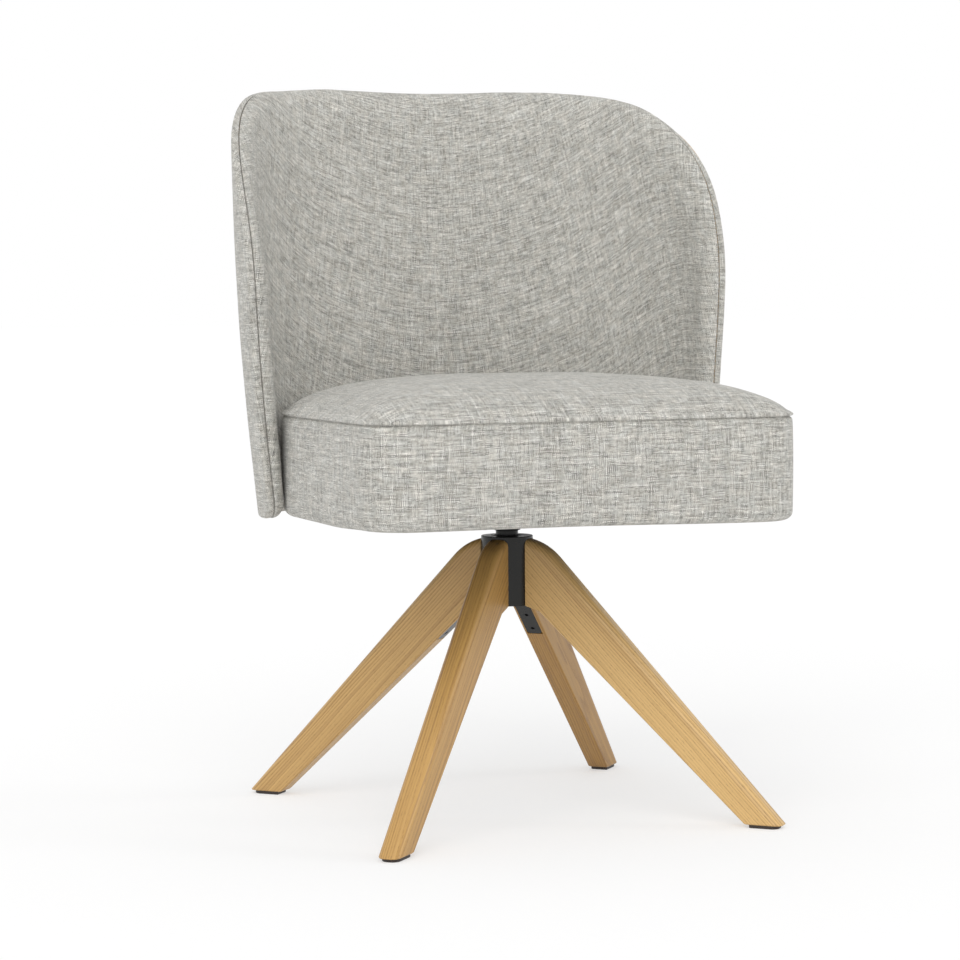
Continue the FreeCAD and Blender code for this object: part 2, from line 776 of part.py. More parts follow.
# spider plate: a pressed steel ring with four arms bent down along the legs
def make_spider(leg_screws):
    """The plate under the hub, drilled for its screws, and the screws that hold it to the hub."""
    body = new_body("leg_spider_blank")
    ring = new_sketch(body, "spider_ring", "XY_Plane", size["hub_bottom"])
    circle(ring, 0, 0, size["spider_ring_radius"])
    pad(body, ring, size["spider_thickness"])
    arm = new_sketch(body, "spider_arm", "XZ_Plane")
    arm_profile(arm, size["spider_thickness"].value, size["spider_hole_radius"] + 3, 0.0, 0.0)
    arm_pad = pad(body, arm, size["spider_arm_width"], midplane=True)
    around_axis(body, [arm_pad], len(LEGS))
    hole = new_sketch(body, "spider_hole", "XY_Plane", size["hub_bottom"])
    circle(hole, 0, 0, size["spider_hole_radius"])
    pocket(body, hole, size["spider_thickness"] * 2, midplane=True)
    reach = size["spider_arm_reach"].value

    def is_arm_corner(edge):
        box = edge.BoundBox
        far = math.hypot((box.XMin + box.XMax) / 2, (box.YMin + box.YMax) / 2)
        return far > reach - 2 and edge.Length < size["spider_thickness"].value * 1.2

    round_edges(body, size["spider_arm_round"], is_arm_corner)
    body.Placement = Placement(Vector(0, 0, 0), Rotation(Vector(0, 0, 1), 45))
    hub_screws = []
    for index in range(4):
        turn = Rotation(Vector(0, 0, 1), 90 * index)
        radius = size["hub_screw_circle_radius"].value
        place = Placement(turn.multVec(Vector(radius, 0, size["hub_bottom"].value)), turn)
        hub_screws.append(countersunk_screw("hub_screw_{}".format(index + 1),
                                            size["hub_screw_length"], place))
    spider = cut("leg_spider_plate", body, fused("spider_drill", leg_screws + hub_screws))
    return spider, hub_screws


# glides: dark pads under the feet, flat inside and rounded outside
def make_glide(name, angle, screw):
    """The pad under one foot, with a well for its screw head."""
    label = "glide_" + name
    body = new_body(label + "_blank")
    outline = new_sketch(body, label + "_outline", "XY_Plane")
    half = size["glide_width"] / 2
    rectangle(outline, size["glide_inner_reach"], size["glide_outer_reach"], -half, half)
    pad(body, outline, size["glide_thickness"])
    outer = size["glide_outer_reach"].value
    round_edges(body, size["glide_round"], lambda e: abs(e.BoundBox.XMin - outer) < 1e-3
                and e.BoundBox.YMax - e.BoundBox.YMin < 1e-3)
    bevel_edges(body, size["glide_edge"], lambda e: e.BoundBox.ZMax < 1e-3)
    turn = Rotation(Vector(0, 0, 1), angle)
    body.Placement = Placement(Vector(0, 0, 0), turn)
    well = round_bar(label + "_well", size["screw_head_radius"], size["glide_screw_recess"])
    well.Placement = Placement(turn.multVec(Vector(size["glide_screw_reach"].value, 0, 0)), turn)
    return cut(label, body, fused(label + "_drill", [screw, well]))


# swivel bearing: two bushes, a thrust washer and the spindle with its keeper
def make_bearing():
    """Bushes, washers, keeper ring and spindle, all turned about the swivel axis."""
    play = size["running_play"]
    top = size["hub_top"]
    turned("upper_bush", [
        (size["spindle_radius"] + play, size["upper_bush_bottom"]),
        (size["upper_bore_radius"], size["upper_bush_bottom"]),
        (size["upper_bore_radius"], top - size["flange_thickness"]),
        (size["flange_recess_radius"], top - size["flange_thickness"]),
        (size["flange_recess_radius"], top),
        (size["spindle_radius"] + play, top),
    ])
    turned("lower_bush", [
        (size["journal_radius"] + play, size["hub_counterbore_top"]),
        (size["lower_bore_radius"], size["hub_counterbore_top"]),
        (size["lower_bore_radius"], size["lower_bush_top"]),
        (size["journal_radius"] + play, size["lower_bush_top"]),
    ])
    inner = size["journal_radius"] + size["thrust_washer_inner_play"]
    outer = size["upper_bore_radius"] - size["thrust_washer_outer_play"]
    turned("thrust_washer", [
        (inner, size["bore_step_height"]),
        (outer, size["bore_step_height"]),
        (outer, size["spindle_shoulder"]),
        (inner, size["spindle_shoulder"]),
    ])
    washer_top = size["hub_counterbore_top"] - size["keeper_play"]
    washer_low = washer_top - size["washer_thickness"]
    ring_low = washer_low - size["ring_thickness"]
    turned("spindle_washer", [
        (size["journal_radius"], washer_low), (size["washer_radius"], washer_low),
        (size["washer_radius"], washer_top), (size["journal_radius"], washer_top),
    ])
    turned("spindle_retaining_ring", [
        (size["ring_groove_radius"], ring_low), (size["ring_radius"], ring_low),
        (size["ring_radius"], washer_low), (size["ring_groove_radius"], washer_low),
    ])
    shoulder = size["spindle_shoulder"] + play
    plate_top = size["plate_bottom"] + size["plate_thickness"]
    bevel = size["spindle_bevel"]
    turned("swivel_spindle", [
        (0, size["spindle_bottom"]), (size["journal_radius"] - bevel, size["spindle_bottom"]),
        (size["journal_radius"], size["spindle_bottom"] + bevel),
        (size["journal_radius"], ring_low), (size["ring_groove_radius"], ring_low),
        (size["ring_groove_radius"], washer_low), (size["journal_radius"], washer_low),
        (size["journal_radius"], shoulder), (size["spindle_radius"], shoulder),
        (size["spindle_radius"], size["collar_bottom"]),
        (size["collar_radius"], size["collar_bottom"] + size["collar_bevel"]),
        (size["collar_radius"], size["plate_bottom"]),
        (size["spindle_radius"], size["plate_bottom"]),
        (size["spindle_radius"], plate_top), (0, plate_top),
    ])


# seat plate: a square steel plate welded to the spindle, with its four bolts
def make_seat_plate():
    """The steel plate under the seat board, and its four bolts."""
    body = new_body("seat_plate_blank")
    outline = new_sketch(body, "plate_outline", "XY_Plane", size["plate_bottom"])
    half = size["plate_width"] / 2
    rectangle(outline, -half, half, -half, half)
    pad(body, outline, size["plate_thickness"])
    thickness = size["plate_thickness"].value
    round_edges(body, size["plate_round"], lambda e: abs(
        e.BoundBox.ZMax - e.BoundBox.ZMin - thickness) < 1e-3)
    hole = new_sketch(body, "plate_hole", "XY_Plane", size["plate_bottom"])
    circle(hole, 0, 0, size["spindle_radius"])
    pocket(body, hole, size["plate_thickness"], reversed_=True)
    bolts = []
    offset = size["plate_bolt_offset"].value
    for index, (x, y) in enumerate(((1, 1), (-1, 1), (-1, -1), (1, -1))):
        place = Placement(Vector(x * offset, y * offset, size["plate_bottom"].value), Rotation())
        bolts.append(hex_bolt("plate_bolt_{}".format(index + 1), size["plate_bolt_radius"],
                              size["plate_bolt_flats"], size["plate_bolt_head"],
                              size["plate_bolt_length"], place))
    cut("seat_plate", body, fused("plate_drill", bolts))
    grouped("seat_plate_bolts", bolts)
    return bolts


def seat_outline(sketch, inset):
    """Seat outline, drawn in from the outer face by an inset."""
    inset = as_size(inset)
    front_round = size["seat_front_round"] - inset * size["seat_corner_squeeze"]
    side_end = size["seat_side_end"] - inset * size["seat_side_shift"]
    tub_outline(sketch, size["seat_half_width"] - inset, size["seat_front"] - inset,
                size["seat_rear"] - inset, front_round, size["seat_rear_arc"] - inset, side_end)


def seat_form(label, inset, bottom):
    """Cushion form: an upright wall up to the seam and a crowned top over it."""
    body = new_body(label)
    base = new_sketch(body, label + "_base", "XY_Plane", bottom)
    seat_outline(base, inset)
    rim = size["seat_seam_height"] - inset
    pad(body, base, rim - bottom)
    sections = []
    for name, rise, draw_in in crown_section_sizes:
        sketch = new_sketch(body, "{}_{}".format(label, name), "XY_Plane", rim + rise)
        seat_outline(sketch, inset + draw_in)
        sections.append(sketch)
    loft(body, sections, "Additive")
    return body


# seat: board, foam, cover with its sewn rim, and the dust cover underneath
def make_seat(drill):
    """Cover, foam and board, each less what sits in it, and the blank of the dust cover."""
    bottom = size["seat_bottom"]
    outer = seat_form("seat_cover_blank", as_size(0), bottom)
    low = bottom.value
    round_edges(outer, size["seat_bottom_round"], lambda e: e.BoundBox.ZMax < low + 1e-3)
    board_low = bottom + size["cover_return_thickness"]
    inner = seat_form("seat_foam_blank", size["cover_thickness"], board_low)
    board = new_body("seat_board_blank")
    board_sketch = new_sketch(board, "board_outline", "XY_Plane", board_low)
    seat_outline(board_sketch, size["board_inset"])
    pad(board, board_sketch, size["board_thickness"])
    opening = new_body("dust_cover_opening")
    opening_sketch = new_sketch(opening, "opening_outline", "XY_Plane", bottom - 1)
    seat_outline(opening_sketch, size["dust_cover_inset"])
    pad(opening, opening_sketch, size["cover_return_thickness"] + 1)
    dust = new_body("seat_dust_cover_blank")
    dust_sketch = new_sketch(dust, "dust_outline", "XY_Plane", bottom)
    seat_outline(dust_sketch, size["dust_cover_inset"] + size["piece_gap"])
    pad(dust, dust_sketch, size["cover_return_thickness"])
    cut("seat_cover", outer, fused("seat_cover_inside", [inner, opening]))
    cut("seat_foam", inner, fused("seat_foam_inside", [board, drill]))
    cut("seat_board", board, drill)
    return dust


def back_outline(sketch, inset, half_width, rear, reach):
    """One level of the back's form, drawn in from the outer face by an inset."""
    tub_outline(sketch, half_width - inset, reach, rear - inset, size["back_tool_round"],
                size["back_rear_arc"] - inset, size["back_side_end"])


def back_layer(label, outer_inset, inner_inset, edge_inset):
    """A curved layer of the back between two insets, cut to the back's side view."""
    body = new_body(label)
    passes = (("Additive", outer_inset, size["back_tool_reach"]),
              ("Subtractive", inner_inset, size["back_tool_inner_reach"]))
    for kind, inset, reach in passes:
        sections = []
        for name, height, half_width, rear in back_section_sizes:
            sketch = new_sketch(body, "{}_{}_{}".format(label, kind.lower(), name),
                                "XY_Plane", height)
            back_outline(sketch, inset, half_width, rear, reach)
            sections.append(sketch)
        loft(body, sections, kind)
    side = new_sketch(body, label + "_side_view", "YZ_Plane")
    draw_back_side(side, edge_inset)
    pocket(body, side, size["seat_half_width"] * 4, midplane=True)
    return body


def draw_back_side(sketch, inset):
    """What is cut away in side view, to leave the rounded outline of the back."""
    far = size["back_tool_far"]
    rectangle(sketch, size["back_tool_inner_reach"] * -1.3, far + 20, size["back_bottom"] - 60,
              size["back_top"] + 60)
    inset = as_size(inset)
    front = size["back_front"] + inset
    low = size["back_bottom"] + inset
    top = size["back_top"] - inset
    upper = size["back_corner_radius"] - inset
    lower = size["back_lower_round"] - inset
    y0, z0, z1 = front.value, low.value, top.value
    ru, rl = upper.value, lower.value
    y1 = far.value
    up = math.pi / 2

    def arc(cx, cy, radius, start, end):
        return Part.ArcOfCircle(Part.Circle(Vector(cx, cy, 0), Vector(0, 0, 1), radius), start, end)

    pieces = [
        Part.LineSegment(Vector(y0 + rl, z0, 0), Vector(y1, z0, 0)),
        Part.LineSegment(Vector(y1, z0, 0), Vector(y1, z1, 0)),
        Part.LineSegment(Vector(y1, z1, 0), Vector(y0 + ru, z1, 0)),
        arc(y0 + ru, z1 - ru, ru, up, 2 * up),
        Part.LineSegment(Vector(y0, z1 - ru, 0), Vector(y0, z0 + rl, 0)),
        arc(y0 + rl, z0 + rl, rl, 2 * up, 3 * up),
    ]
    first = sketch.GeometryCount
    sketch.addGeometry(pieces, False)
    for index in (0, 1):
        sketch.addConstraint(Sketcher.Constraint(
            "Coincident", first + index, 2, first + index + 1, 1))
    for index in (2, 3, 4, 5):
        sketch.addConstraint(Sketcher.Constraint(
            "Tangent", first + index, 2, first + (index + 1) % 6, 1))
    for index in (0, 2):
        sketch.addConstraint(Sketcher.Constraint("Horizontal", first + index))
    for index in (1, 4):
        sketch.addConstraint(Sketcher.Constraint("Vertical", first + index))
    hold_radius(sketch, first + 3, upper)
    hold_radius(sketch, first + 5, lower)
    hold(sketch, "DistanceX", first + 1, 1, far)
    hold(sketch, "DistanceY", first + 1, 1, low)
    hold(sketch, "DistanceY", first + 2, 1, top)
    hold(sketch, "DistanceX", first + 4, 1, front)


# brackets: two bent steel straps that carry the back shell on the seat board
def make_brackets():
    """Both brackets, with the bolts into the seat board and into the back shell."""
    lean = math.radians(size["bracket_lean"].value)
    thickness = size["bracket_thickness"].value
    floor = size["plate_bottom"].value
    top = size["bracket_top"].value
    shell_face = back_face(floor) - (size["back_cover_thickness"]
                                     + size["bracket_clearance"]).value
    rise = top - floor
    rear_top = shell_face + rise * math.tan(lean)
    thick_along = thickness / math.cos(lean)
    corners = [
        (size["bracket_front"].value, floor), (shell_face, floor), (rear_top, top),
        (rear_top - thick_along, top),
        (shell_face - thick_along + thickness * math.tan(lean), floor + thickness),
        (size["bracket_front"].value, floor + thickness),
    ]
    centre = Vector(0, back_face(top) - size["back_rear_arc"].value, 0)
    blanks, board_bolts, shell_bolts = [], [], []
    for name, turn in (("right", -size["bracket_turn"].value), ("left", size["bracket_turn"].value)):
        label = "back_bracket_" + name
        body = new_body(label + "_blank")
        side = new_sketch(body, label + "_side", "YZ_Plane")
        polygon(side, corners)
        pad(body, side, size["bracket_width"], midplane=True)
        swing = Placement(Vector(0, 0, 0), Rotation(Vector(0, 0, 1), turn), centre)
        body.Placement = swing
        bolts = []
        for order in ("first", "second"):
            reach = size["bracket_board_bolt_" + order].value
            local = Placement(Vector(0, reach, floor), Rotation())
            bolt = hex_bolt("{}_board_bolt_{}".format(label, order), size["bracket_bolt_radius"],
                            size["bracket_bolt_flats"], size["bracket_bolt_head"],
                            size["bracket_board_bolt_length"], swing.multiply(local))
            board_bolts.append(bolt)
            bolts.append(bolt)
            height = size["bracket_shell_bolt_" + order].value
            face = shell_face + (height - floor) * math.tan(lean) - thick_along
            tilt = Rotation(Vector(1, 0, 0), -90 + size["bracket_lean"].value)
            local = Placement(Vector(0, face, height), tilt)
            bolt = hex_bolt("{}_shell_bolt_{}".format(label, order), size["bracket_bolt_radius"],
                            size["bracket_bolt_flats"], size["bracket_bolt_head"],
                            size["bracket_shell_bolt_length"], swing.multiply(local))
            shell_bolts.append(bolt)
            bolts.append(bolt)
        blanks.append(cut(label, body, fused(label + "_drill", bolts)))
    return blanks, board_bolts, shell_bolts


def back_face(height):
    """Rearmost reach of the back's outer form at a height, between the named levels."""
    levels = [(level.value, rear.value) for _, level, _, rear in back_section_sizes]
    for (z0, y0), (z1, y1) in zip(levels, levels[1:]):
        if z0 <= height <= z1:
            return y0 + (y1 - y0) * (height - z0) / (z1 - z0)
    raise ValueError("height {} is outside the back".format(height))


def insert_for(bolt, radius, length, start):
    """An insert nut round the threaded end of a bolt."""
    place = bolt.Placement.multiply(Placement(Vector(0, 0, start), Rotation()))
    return threaded_insert(bolt.Name + "_insert", radius, length, place)


hub_blank = make_hub()
leg_screws, glide_screws = [], []
for leg_name, leg_angle in LEGS:
    _, screws, glide_screw = make_leg(leg_name, leg_angle)
    leg_screws += screws
    glide_screws.append(glide_screw)
    make_glide(leg_name, leg_angle, glide_screw)
_, hub_screws = make_spider(leg_screws)
cut("hub_casting", hub_blank, fused("hub_drill", hub_screws))
grouped("leg_screws", leg_screws)
grouped("hub_screws", hub_screws)
grouped("glide_screws", glide_screws)
make_bearing()
plate_bolts = make_seat_plate()
brackets, board_bolts, shell_bolts = make_brackets()

board_low = size["seat_bottom"].value + size["cover_return_thickness"].value
in_board = board_low - size["plate_bottom"].value
board_inserts = [insert_for(bolt, size["plate_bolt_radius"], size["board_insert_length"], in_board)
                 for bolt in plate_bolts]
board_inserts += [insert_for(bolt, size["bracket_bolt_radius"], size["board_insert_length"],
                             in_board) for bolt in board_bolts]
shell_inserts = [insert_for(bolt, size["bracket_bolt_radius"], size["shell_insert_length"],
                            size["shell_insert_start"].value) for bolt in shell_bolts]
board_drill = fused("board_drill", board_inserts + plate_bolts + board_bolts)
dust_blank = make_seat(board_drill)
cut("seat_dust_cover", dust_blank, fused("dust_drill", plate_bolts + board_bolts))
grouped("seat_board_inserts", board_inserts)
grouped("back_shell_inserts", shell_inserts)
grouped("bracket_bolts", board_bolts + shell_bolts)

gap = size["piece_gap"]
skin = size["back_skin"]
cover_depth = size["back_cover_thickness"]
shell_blank = back_layer("back_shell_blank", skin + gap, cover_depth - gap, skin + gap)
cover_blank = back_layer("back_outer_cover_blank", as_size(0), cover_depth, as_size(0))
cavity = back_layer("back_cavity", skin, cover_depth + size["back_cavity_overrun"], skin)
pad_blank = back_layer("back_pad_blank", cover_depth + gap, size["back_total_thickness"],
                       as_size(0))
cut("back_outer_cover", cover_blank, cavity)
cut("back_shell", shell_blank, fused("shell_drill", shell_inserts + shell_bolts))
cut("back_front_pad", pad_blank, fused("pad_relief", brackets + shell_bolts + shell_inserts))

NODES = (
    ["hub_casting", "leg_spider_plate", "leg_screws", "hub_screws", "glide_screws"]
    + ["leg_" + name for name, _ in LEGS] + ["glide_" + name for name, _ in LEGS]
    + ["upper_bush", "lower_bush", "thrust_washer", "spindle_washer", "spindle_retaining_ring"]
    + ["swivel_spindle", "seat_plate", "seat_plate_bolts", "seat_board", "seat_board_inserts"]
    + ["seat_foam", "seat_cover", "seat_dust_cover", "back_bracket_right", "back_bracket_left"]
    + ["bracket_bolts", "back_shell", "back_shell_inserts", "back_outer_cover", "back_front_pad"]
)

doc.recompute()
for item in doc.Objects:
    for state in item.State:
        if state in ("Invalid", "Error"):
            raise RuntimeError("{} is {}".format(item.Label, state))
os.makedirs("parts", exist_ok=True)
for node in NODES:
    piece = doc.getObjectsByLabel(node)[0]
    shape = piece.Shape
    if shape.isNull() or not shape.isValid():
        raise RuntimeError("{} has no sound shape".format(node))
    shape.exportStep("parts/{}.step".format(node))
    box = shape.optimalBoundingBox()
    print("{:24s} {:2d} solid {:10.1f} mm3  z {:7.2f} to {:7.2f}".format(
        node, len(shape.Solids), shape.Volume, box.ZMin, box.ZMax))
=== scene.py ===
"""Looks of a swivel dining chair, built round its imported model.

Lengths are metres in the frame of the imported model: the origin is on the floor under the
swivel axis, +Z is up and the chair faces -Y. The four legs stand on the diagonals.
"""

import logging
import math
from dataclasses import dataclass, field
from enum import Enum
from typing import Callable, Sequence

import bmesh
import bpy
import numpy as np
from mathutils import Matrix, Vector


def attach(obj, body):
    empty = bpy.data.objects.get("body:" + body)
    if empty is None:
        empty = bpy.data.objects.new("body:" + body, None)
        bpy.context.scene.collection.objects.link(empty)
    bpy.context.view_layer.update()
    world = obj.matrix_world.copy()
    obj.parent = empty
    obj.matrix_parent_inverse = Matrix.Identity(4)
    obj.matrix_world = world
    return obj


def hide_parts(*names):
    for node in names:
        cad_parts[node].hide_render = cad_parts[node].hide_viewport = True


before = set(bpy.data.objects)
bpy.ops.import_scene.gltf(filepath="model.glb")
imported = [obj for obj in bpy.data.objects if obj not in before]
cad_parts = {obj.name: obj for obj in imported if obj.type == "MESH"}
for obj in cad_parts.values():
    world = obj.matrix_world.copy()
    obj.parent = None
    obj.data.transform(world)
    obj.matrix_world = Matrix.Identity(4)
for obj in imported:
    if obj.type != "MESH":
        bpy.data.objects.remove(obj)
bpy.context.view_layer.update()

log = logging.getLogger("swivel_dining_chair")

MM = 0.001
LEG_ANGLES = {"front_right": -45.0, "rear_right": 45.0, "rear_left": 135.0, "front_left": -135.0}
Socket = bpy.types.NodeSocket
Colour = tuple[float, float, float]
Fed = "Socket | float | int | bool | Sequence[float]"


class RidingBody(Enum):
    """The two bodies that the pieces ride on."""

    BASE = "base"
    SEAT = "seat_unit"


class Slot(Enum):
    """Material slots of the record."""

    ZINC = "zinc_steel"
    UPHOLSTERY = "upholstery"
    DUST_CLOTH = "dust_cloth"


def eased_curve(at: np.ndarray, knots: Sequence[float], values: Sequence[float]) -> np.ndarray:
    """Smooth curve through a few knots that never swings past them.

    Args:
        at: Where the curve is wanted.
        knots: Rising positions of the known values.
        values: The known values.

    Returns:
        The curve's value at each wanted position.
    """
    x, y = np.asarray(knots, float), np.asarray(values, float)
    width, slope = np.diff(x), np.diff(y) / np.diff(x)
    tangent = np.empty(len(x))
    tangent[0], tangent[-1] = slope[0], slope[-1]
    same_way = slope[:-1] * slope[1:] > 0
    weight_a, weight_b = 2 * width[1:] + width[:-1], width[1:] + 2 * width[:-1]
    with np.errstate(divide="ignore", invalid="ignore"):
        mean = (weight_a + weight_b) / (weight_a / slope[:-1] + weight_b / slope[1:])
    tangent[1:-1] = np.where(same_way, mean, 0.0)
    at = np.clip(np.asarray(at, float), x[0], x[-1])
    piece = np.clip(np.searchsorted(x, at, side="right") - 1, 0, len(x) - 2)
    part = (at - x[piece]) / width[piece]
    rise = width[piece] * part
    return (y[piece] * (1 + 2 * part) * (1 - part) ** 2 + y[piece + 1] * part**2 * (3 - 2 * part)
            + tangent[piece] * rise * (1 - part) ** 2
            - tangent[piece + 1] * rise * part * (1 - part))


def soft_step(value: np.ndarray, low: float, high: float) -> np.ndarray:
    """Smooth rise from 0 at one end of a range to 1 at the other."""
    share = np.clip((value - low) / (high - low), 0.0, 1.0)
    return share * share * (3 - 2 * share)


class NodeBench:
    """Adds and joins the nodes of one tree."""

    tree: bpy.types.NodeTree

    def add(self, kind: str, inputs: dict[str | int, Fed], **settings: str) -> bpy.types.Node:
        """One node with its inputs linked or set.

        Args:
            kind: Blender's name of the node.
            inputs: For an input's name or number, the socket or value that it takes.
            settings: The node's own properties.

        Returns:
            The node.
        """
        node = self.tree.nodes.new(kind)
        for name, value in settings.items():
            setattr(node, name, value)
        for key, value in inputs.items():
            self.feed(node.inputs[key], value)
        return node

    def feed(self, socket: Socket, value: Fed) -> None:
        """Link a socket into another, or set its own value.

        Args:
            socket: The input.
            value: What it takes.
        """
        if isinstance(value, bpy.types.NodeSocket):
            self.tree.links.new(value, socket)
        else:
            socket.default_value = value

    def math(self, operation: str, *values: "Socket | float") -> Socket:
        """Output of one Math node that takes the values in order."""
        return self.add("ShaderNodeMath", dict(enumerate(values)), operation=operation).outputs[0]

    def combine(self, *values: "Socket | float") -> Socket:
        """Join three numbers into a vector."""
        return self.add("ShaderNodeCombineXYZ", dict(enumerate(values))).outputs[0]

    def split(self, vector: Socket) -> Sequence[Socket]:
        """Take a vector apart into three numbers."""
        return self.add("ShaderNodeSeparateXYZ", {0: vector}).outputs


class ShaderBench(NodeBench):
    """Adds and joins the shader nodes of one material."""

    def __init__(self, name: str) -> None:
        """Start a material that holds only its output and a Principled shader.

        Args:
            name: The material's name.
        """
        self.material = bpy.data.materials.new(name)
        self.material.use_nodes = True
        self.tree = self.material.node_tree
        self.tree.nodes.clear()
        self.output = self.tree.nodes.new("ShaderNodeOutputMaterial")
        self.shader = self.tree.nodes.new("ShaderNodeBsdfPrincipled")
        self.tree.links.new(self.shader.outputs["BSDF"], self.output.inputs["Surface"])

    def set(self, **values: Fed) -> None:
        """Feed the Principled shader's sockets.

        Args:
            values: For each socket's name with underscores, what it takes.
        """
        for name, value in values.items():
            wanted = name.replace("_", " ").lower()
            socket = [s for s in self.shader.inputs if s.name.lower() == wanted][0]
            if wanted == "base color" and not isinstance(value, bpy.types.NodeSocket):
                value = (*value, 1.0)
            self.feed(socket, value)

    def noise(self, vector: Socket, scale: float, detail: float = 2.0,
              roughness: float = 0.5) -> Socket:
        """Noise over a vector.

        Args:
            vector: Where the noise is read.
            scale: Its fineness.
            detail: Its octaves.
            roughness: Weight of the finer octaves.

        Returns:
            A number from 0 to 1.
        """
        return self.add("ShaderNodeTexNoise", {"Vector": vector, "Scale": scale, "Detail": detail,
                                               "Roughness": roughness}).outputs[0]

    def random(self, value: Socket) -> Socket:
        """An even random number from 0 to 1 for each whole number."""
        return self.add("ShaderNodeTexWhiteNoise", {"W": value},
                        noise_dimensions="1D").outputs["Value"]

    def spread(self, value: Socket, low: float, high: float, to_low: float = 0.0,
               to_high: float = 1.0) -> Socket:
        """Map one clamped range of numbers onto another.

        Args:
            value: The number to map.
            low: Start of its range.
            high: End of its range.
            to_low: What the start becomes.
            to_high: What the end becomes.

        Returns:
            The mapped number.
        """
        return self.add("ShaderNodeMapRange", {
            "Value": value, "From Min": low, "From Max": high, "To Min": to_low,
            "To Max": to_high}).outputs["Result"]

    def blend(self, share: Socket, first: "Socket | Colour", second: "Socket | Colour") -> Socket:
        """Mix two colours.

        Args:
            share: The second colour's share.
            first: The colour at a share of 0.
            second: The colour at a share of 1.

        Returns:
            The mixed colour.
        """
        ends = [value if isinstance(value, bpy.types.NodeSocket) else (*value, 1.0)
                for value in (first, second)]
        return self.add("ShaderNodeMix", {0: share, 6: ends[0], 7: ends[1]},
                        data_type="RGBA").outputs[2]

    def place(self, turn: Sequence[float] = (0, 0, 0), scale: Sequence[float] = (1, 1, 1)) -> Socket:
        """Object coordinates, turned and scaled by a Mapping node.

        Args:
            turn: Angles round X, Y and Z.
            scale: Stretch along X, Y and Z.

        Returns:
            The vector.
        """
        coordinates = self.tree.nodes.new("ShaderNodeTexCoord").outputs["Object"]
        return self.add("ShaderNodeMapping", {"Vector": coordinates, "Rotation": turn,
                                              "Scale": scale}).outputs["Vector"]

    def uv(self, name: str) -> Socket:
        """A named UV map."""
        return self.add("ShaderNodeUVMap", {}, uv_map=name).outputs["UV"]

    def bump(self, height: Socket, distance: float, strength: float = 1.0) -> None:
        """Let a height from 0 to 1 tilt the surface.

        Args:
            height: The height.
            distance: Its full depth.
            strength: How much of the tilt shows.
        """
        node = self.add("ShaderNodeBump", {"Height": height, "Distance": distance,
                                           "Strength": strength})
        self.tree.links.new(node.outputs["Normal"], self.shader.inputs["Normal"])


class GeometryBench(NodeBench):
    """Builds one Geometry Nodes tree with named sizes and runs it on a guide mesh."""

    def __init__(self, name: str, sizes: Sequence[str]) -> None:
        """Start a tree with a guide, named sizes and a finish as inputs.

        Args:
            name: The tree's name.
            sizes: Names of its sizes.
        """
        self.tree = bpy.data.node_groups.new(name, "GeometryNodeTree")
        face = self.tree.interface
        face.new_socket("Guide", in_out="INPUT", socket_type="NodeSocketGeometry")
        for size in sizes:
            face.new_socket(size, in_out="INPUT", socket_type="NodeSocketFloat")
        face.new_socket("Finish", in_out="INPUT", socket_type="NodeSocketMaterial")
        face.new_socket("Pieces", in_out="OUTPUT", socket_type="NodeSocketGeometry")
        self.given = self.tree.nodes.new("NodeGroupInput").outputs
        self.output = self.tree.nodes.new("NodeGroupOutput")

    def attribute(self, name: str) -> Socket:
        """A vector attribute of the guide."""
        return self.add("GeometryNodeInputNamedAttribute", {"Name": name},
                        data_type="FLOAT_VECTOR").outputs["Attribute"]

    def outer_face(self) -> Socket:
        """Selection of the faces that look down."""
        normal = self.add("GeometryNodeInputNormal", {}).outputs[0]
        return self.math("LESS_THAN", self.split(normal)[2], -0.9)

    def inner_ring(self, mesh: Socket, share: "Socket | float") -> tuple[Socket, Socket]:
        """Draw a smaller ring inside the face that looks down.

        Args:
            mesh: The mesh with that face.
            share: The ring's share of the face's size.

        Returns:
            The mesh with the ring in it, and the selection of the face inside the ring.
        """
        ring = self.add("GeometryNodeExtrudeMesh", {
            "Mesh": mesh, "Selection": self.outer_face(), "Offset Scale": 0.0,
            "Individual": False}, mode="FACES")
        scaled = self.add("GeometryNodeScaleElements", {
            "Geometry": ring.outputs["Mesh"], "Selection": ring.outputs["Top"],
            "Scale": share}, domain="FACE")
        return scaled.outputs[0], ring.outputs["Top"]

    def moved(self, geometry: Socket, selection: Fed, position: Socket) -> Socket:
        """Set the selected points' position."""
        return self.add("GeometryNodeSetPosition", {
            "Geometry": geometry, "Selection": selection, "Position": position}).outputs[0]

    def joined(self, *parts: Socket) -> Socket:
        """Join several meshes.

        Args:
            parts: The meshes.

        Returns:
            The joined mesh.
        """
        node = self.tree.nodes.new("GeometryNodeJoinGeometry")
        for part in parts:
            self.tree.links.new(part, node.inputs[0])
        return node.outputs[0]

    def close(self, instances: Socket) -> None:
        """Make the instances real, give them the finish and end the tree.

        Args:
            instances: The instances.
        """
        real = self.add("GeometryNodeRealizeInstances", {0: instances}).outputs[0]
        dressed = self.add("GeometryNodeSetMaterial", {
            "Geometry": real, "Material": self.given["Finish"]}).outputs[0]
        self.tree.links.new(dressed, self.output.inputs[0])

    def run(self, guide: bpy.types.Object, sizes: dict[str, float],
            finish: bpy.types.Material) -> bpy.types.Object:
        """Run the tree on a guide and keep the result as a plain mesh.

        Args:
            guide: The guide, whose mesh is swapped for the result.
            sizes: The tree's sizes by name.
            finish: The pieces' material.

        Returns:
            The guide's object, which now holds the pieces.
        """
        modifier = guide.modifiers.new(self.tree.name, "NODES")
        modifier.node_group = self.tree
        values = {**sizes, "Finish": finish}
        for item in self.tree.interface.items_tree:
            if item.in_out == "INPUT" and item.name in values:
                modifier[item.identifier] = values[item.name]
        apply_modifiers(guide)
        return finished(guide, finish)


